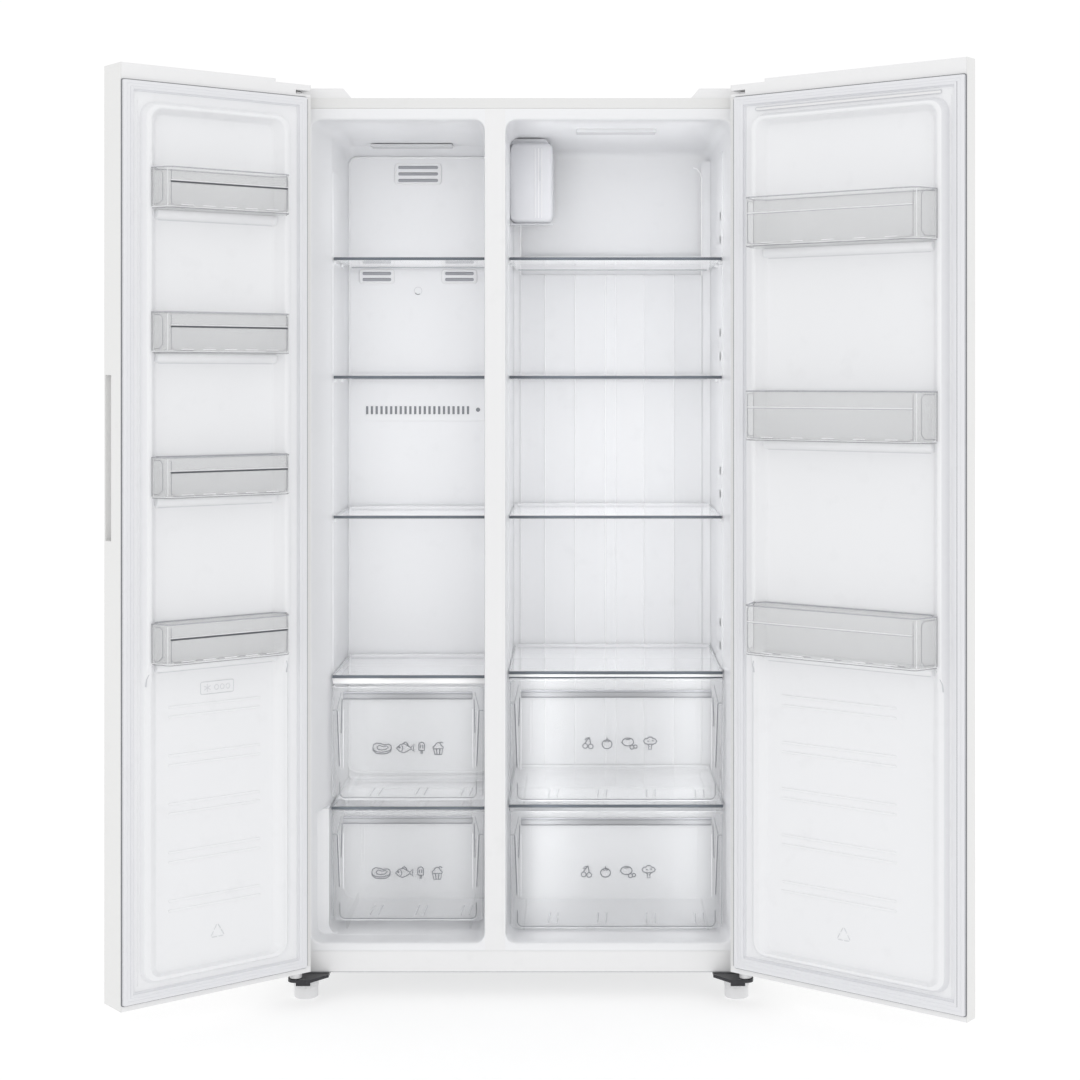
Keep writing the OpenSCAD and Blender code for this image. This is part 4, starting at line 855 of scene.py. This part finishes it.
def drawer(name, x0, x1, d0, d1, z0, z1, icons, icon_x, icon_z, bar_z):
    y0, y1 = FRONT + d0, FRONT + d1
    t = 2.4
    # tapered tub
    levels = [(14, z0), (9, z0 + 1.5), (6.5, z0 + 8), (1.0, z1 - 10), (0.2, z1 - 4), (0, z1 - 0.5), (0.8, z1),
              (1.8, z1), (2.6, z1 - 1.5), (3.4, z1 - 10), (9, z0 + 9), (13, z0 + t)]
    rings = []
    for inset, z in levels:
        loop = rrect(x0 + inset, y0 + 4 + 0.15 * inset, x1 - inset, y1 - inset * 0.6,
                     max(16 - inset * 0.5, 4), 4)
        rings.append([(p[0], p[1], z) for p in loop])
    parts = [loft(rings, "clear", True, True)]
    # front panel with its finger bar
    parts.append(slab((x0 + 0.5, y0, z0 + 2), (x1 - 0.5, y0 + 3, z1), "clear", 14, 1, 0.8))
    bar0, bar1, bar_top, bar_y = x0 + 25, x1 - 25, z1 - bar_z, y0 - 7.6
    parts.append(slab((bar0, y0 - 8, bar_top - 10.5), (bar1, y0 + 1, bar_top), "bar", 2.5, 0, 0.8))
    # a lip of painted edge shade on the bar's top and a line of painted shade under it
    parts.append(slab((bar0, bar_y, bar_top + 0.3), (bar1, y0 - 2, bar_top + 3.2), "clear_edge", 0.5, 0, 0.3))
    parts.append(tube([(bar0, bar_y, bar_top - 10.8), (bar1, bar_y, bar_top - 10.8)], 0.7, "line", 5))
    # moulded lines, drawn as lines of painted shade with painted highlights beside them, the bright strokes
    # standing for reflections: slanted ones down both sides, short ones under the bar, and the rounded foot
    foot, in0, in1, r = z0 + 7, x0 + 17.5, x1 - 17.5, 10
    path = [(in0, foot + r + 22)]
    path += [(in0 + r - r * math.cos(math.radians(a)), foot + r - r * math.sin(math.radians(a)))
             for a in range(0, 91, 15)]
    path += [(in1 - r + r * math.sin(math.radians(a)), foot + r - r * math.cos(math.radians(a)))
             for a in range(0, 91, 15)]
    path += [(in1, foot + r + 22)]
    parts.append(tube([(x, y0 - 0.4, z) for x, z in path], 0.75, "line", 6))
    parts.append(tube([(x, y0 - 0.4, z - 2.4) for x, z in path[1:-1]], 0.6, "clear_bright", 5))
    strokes = [((12, z1 - 47), (16.6, z0 + 70), 1.0, "line"),
               ((14.6, z1 - 47), (19, z0 + 70), 0.6, "clear_bright"),
               ((3, z1 - 46), (12, z1 - 46), 0.7, "clear_edge"),
               ((22, z1 - bar_z - 12), (20, z1 - 92), 0.9, "line"),
               ((20, z1 - 10), (12, z1 - 44), 0.6, "clear_edge"),
               ((24.5, z1 - 44), (24.5, z0 + 66), 0.8, "clear_bright"),
               ((3.5, z1 - 4), (4.5, z0 + 12), 0.5, "clear_edge")]
    for sx, x in ((1, x0), (-1, x1)):
        for upper, lower, rad, key in strokes:
            ends = [(x + sx * across, y0 - 0.4, z) for across, z in (upper, lower)]
            parts.append(tube(ends, rad, key, 5))
    # rim lines and upright ribs at the corners, drawn as painted highlights
    rim = rrect(x0 + 1, y0 + 5, x1 - 1, y1 - 1, 14, 4)
    parts.append(tube([(p[0], p[1], z1 - 0.8) for p in rim], 0.9, "clear_bright", 6, True))
    for x in (x0 + 36, x0 + 42, x1 - 38):
        parts.append(tube([(x, y1 - 10, z0 + 40), (x, y1 - 10, z1 - 20)], 1.0, "clear_bright", 5))
    # short ribs in the floor, each a painted highlight beside a line of painted edge shade
    n = 3 if x1 - x0 < 350 else 4
    for k in range(n):
        x = x0 + (x1 - x0) * (k + 0.78) / (n + 0.35)
        for dx in (0, 17):
            for off, key in ((0, "clear_bright"), (2.4, "clear_edge")):
                rib = [(x + dx + off, y0 + 40, z0 + t + 1.2), (x + dx + off + 3, y0 + 112, z0 + t + 1.2)]
                parts.append(tube(rib, 1.0, key, 5))
    # runners
    for x in (x0 + 30, x1 - 30):
        parts.append(slab((x - 2, y0 + 16, RUN[name]), (x + 2, y1 - 16, z0 + 1), "clear", 1, 1, 0.5))
    # printed pictograms
    for strokes, dx, scale in icons:
        for stroke in strokes:
            pts = [(icon_x + dx + p[0] * scale, y0 - 0.45, icon_z + p[1] * scale) for p in stroke]
            parts.append(tube(pts, 0.95, "ink", 5))
    build(name + "_clear", parts, name, "C", [name])


RUN = {"freezer_drawer_upper": 357.4, "freezer_drawer_lower": 108.4,
       "fridge_drawer_upper": 361.4, "fridge_drawer_lower": 108.4}
frz_icons = [(STEAK, -33, 1.15), (FISH, 13, 1.15), (LOLLY, 46, 1.1), (CAKE, 79, 1.15)]
fri_icons = [(CHERRY, -62, 1.1), (TOMATO, -24, 1.1), (LEMON, 20, 1.15), (BROCCOLI, 62, 1.1)]
drawer("freezer_drawer_upper", -382, -74.5, 84, 384, 367, 595, frz_icons, -247, 473, 12)
drawer("freezer_drawer_lower", -382, -74.5, 84, 318, 126, 347, frz_icons, -249, 224, 12)
drawer("fridge_drawer_upper", -27, 402, 74, 384, 366, 611, fri_icons, 193, 485, 23)
drawer("fridge_drawer_lower", -27, 402, 74, 318, 113, 348, fri_icons, 190, 229, 14)

# ---- floor --------------------------------------------------------------------------------------

floor_mesh = bpy.data.meshes.new("floor")
reach = 30.0
floor_mesh.from_pydata([(-reach, -reach, 0), (reach, -reach, 0), (reach, reach, 0), (-reach, reach, 0)], [],
                       [(0, 1, 2, 3)])
floor_mesh.materials.append(material("floor_white", (0.45, 0.45, 0.45), 0.9, 0.02, 5, tint=0.0, emit=0.60,
                                     specular=0.0))
floor = bpy.data.objects.new("floor", floor_mesh)
floor.location.z = -0.0005
scene.collection.objects.link(floor)
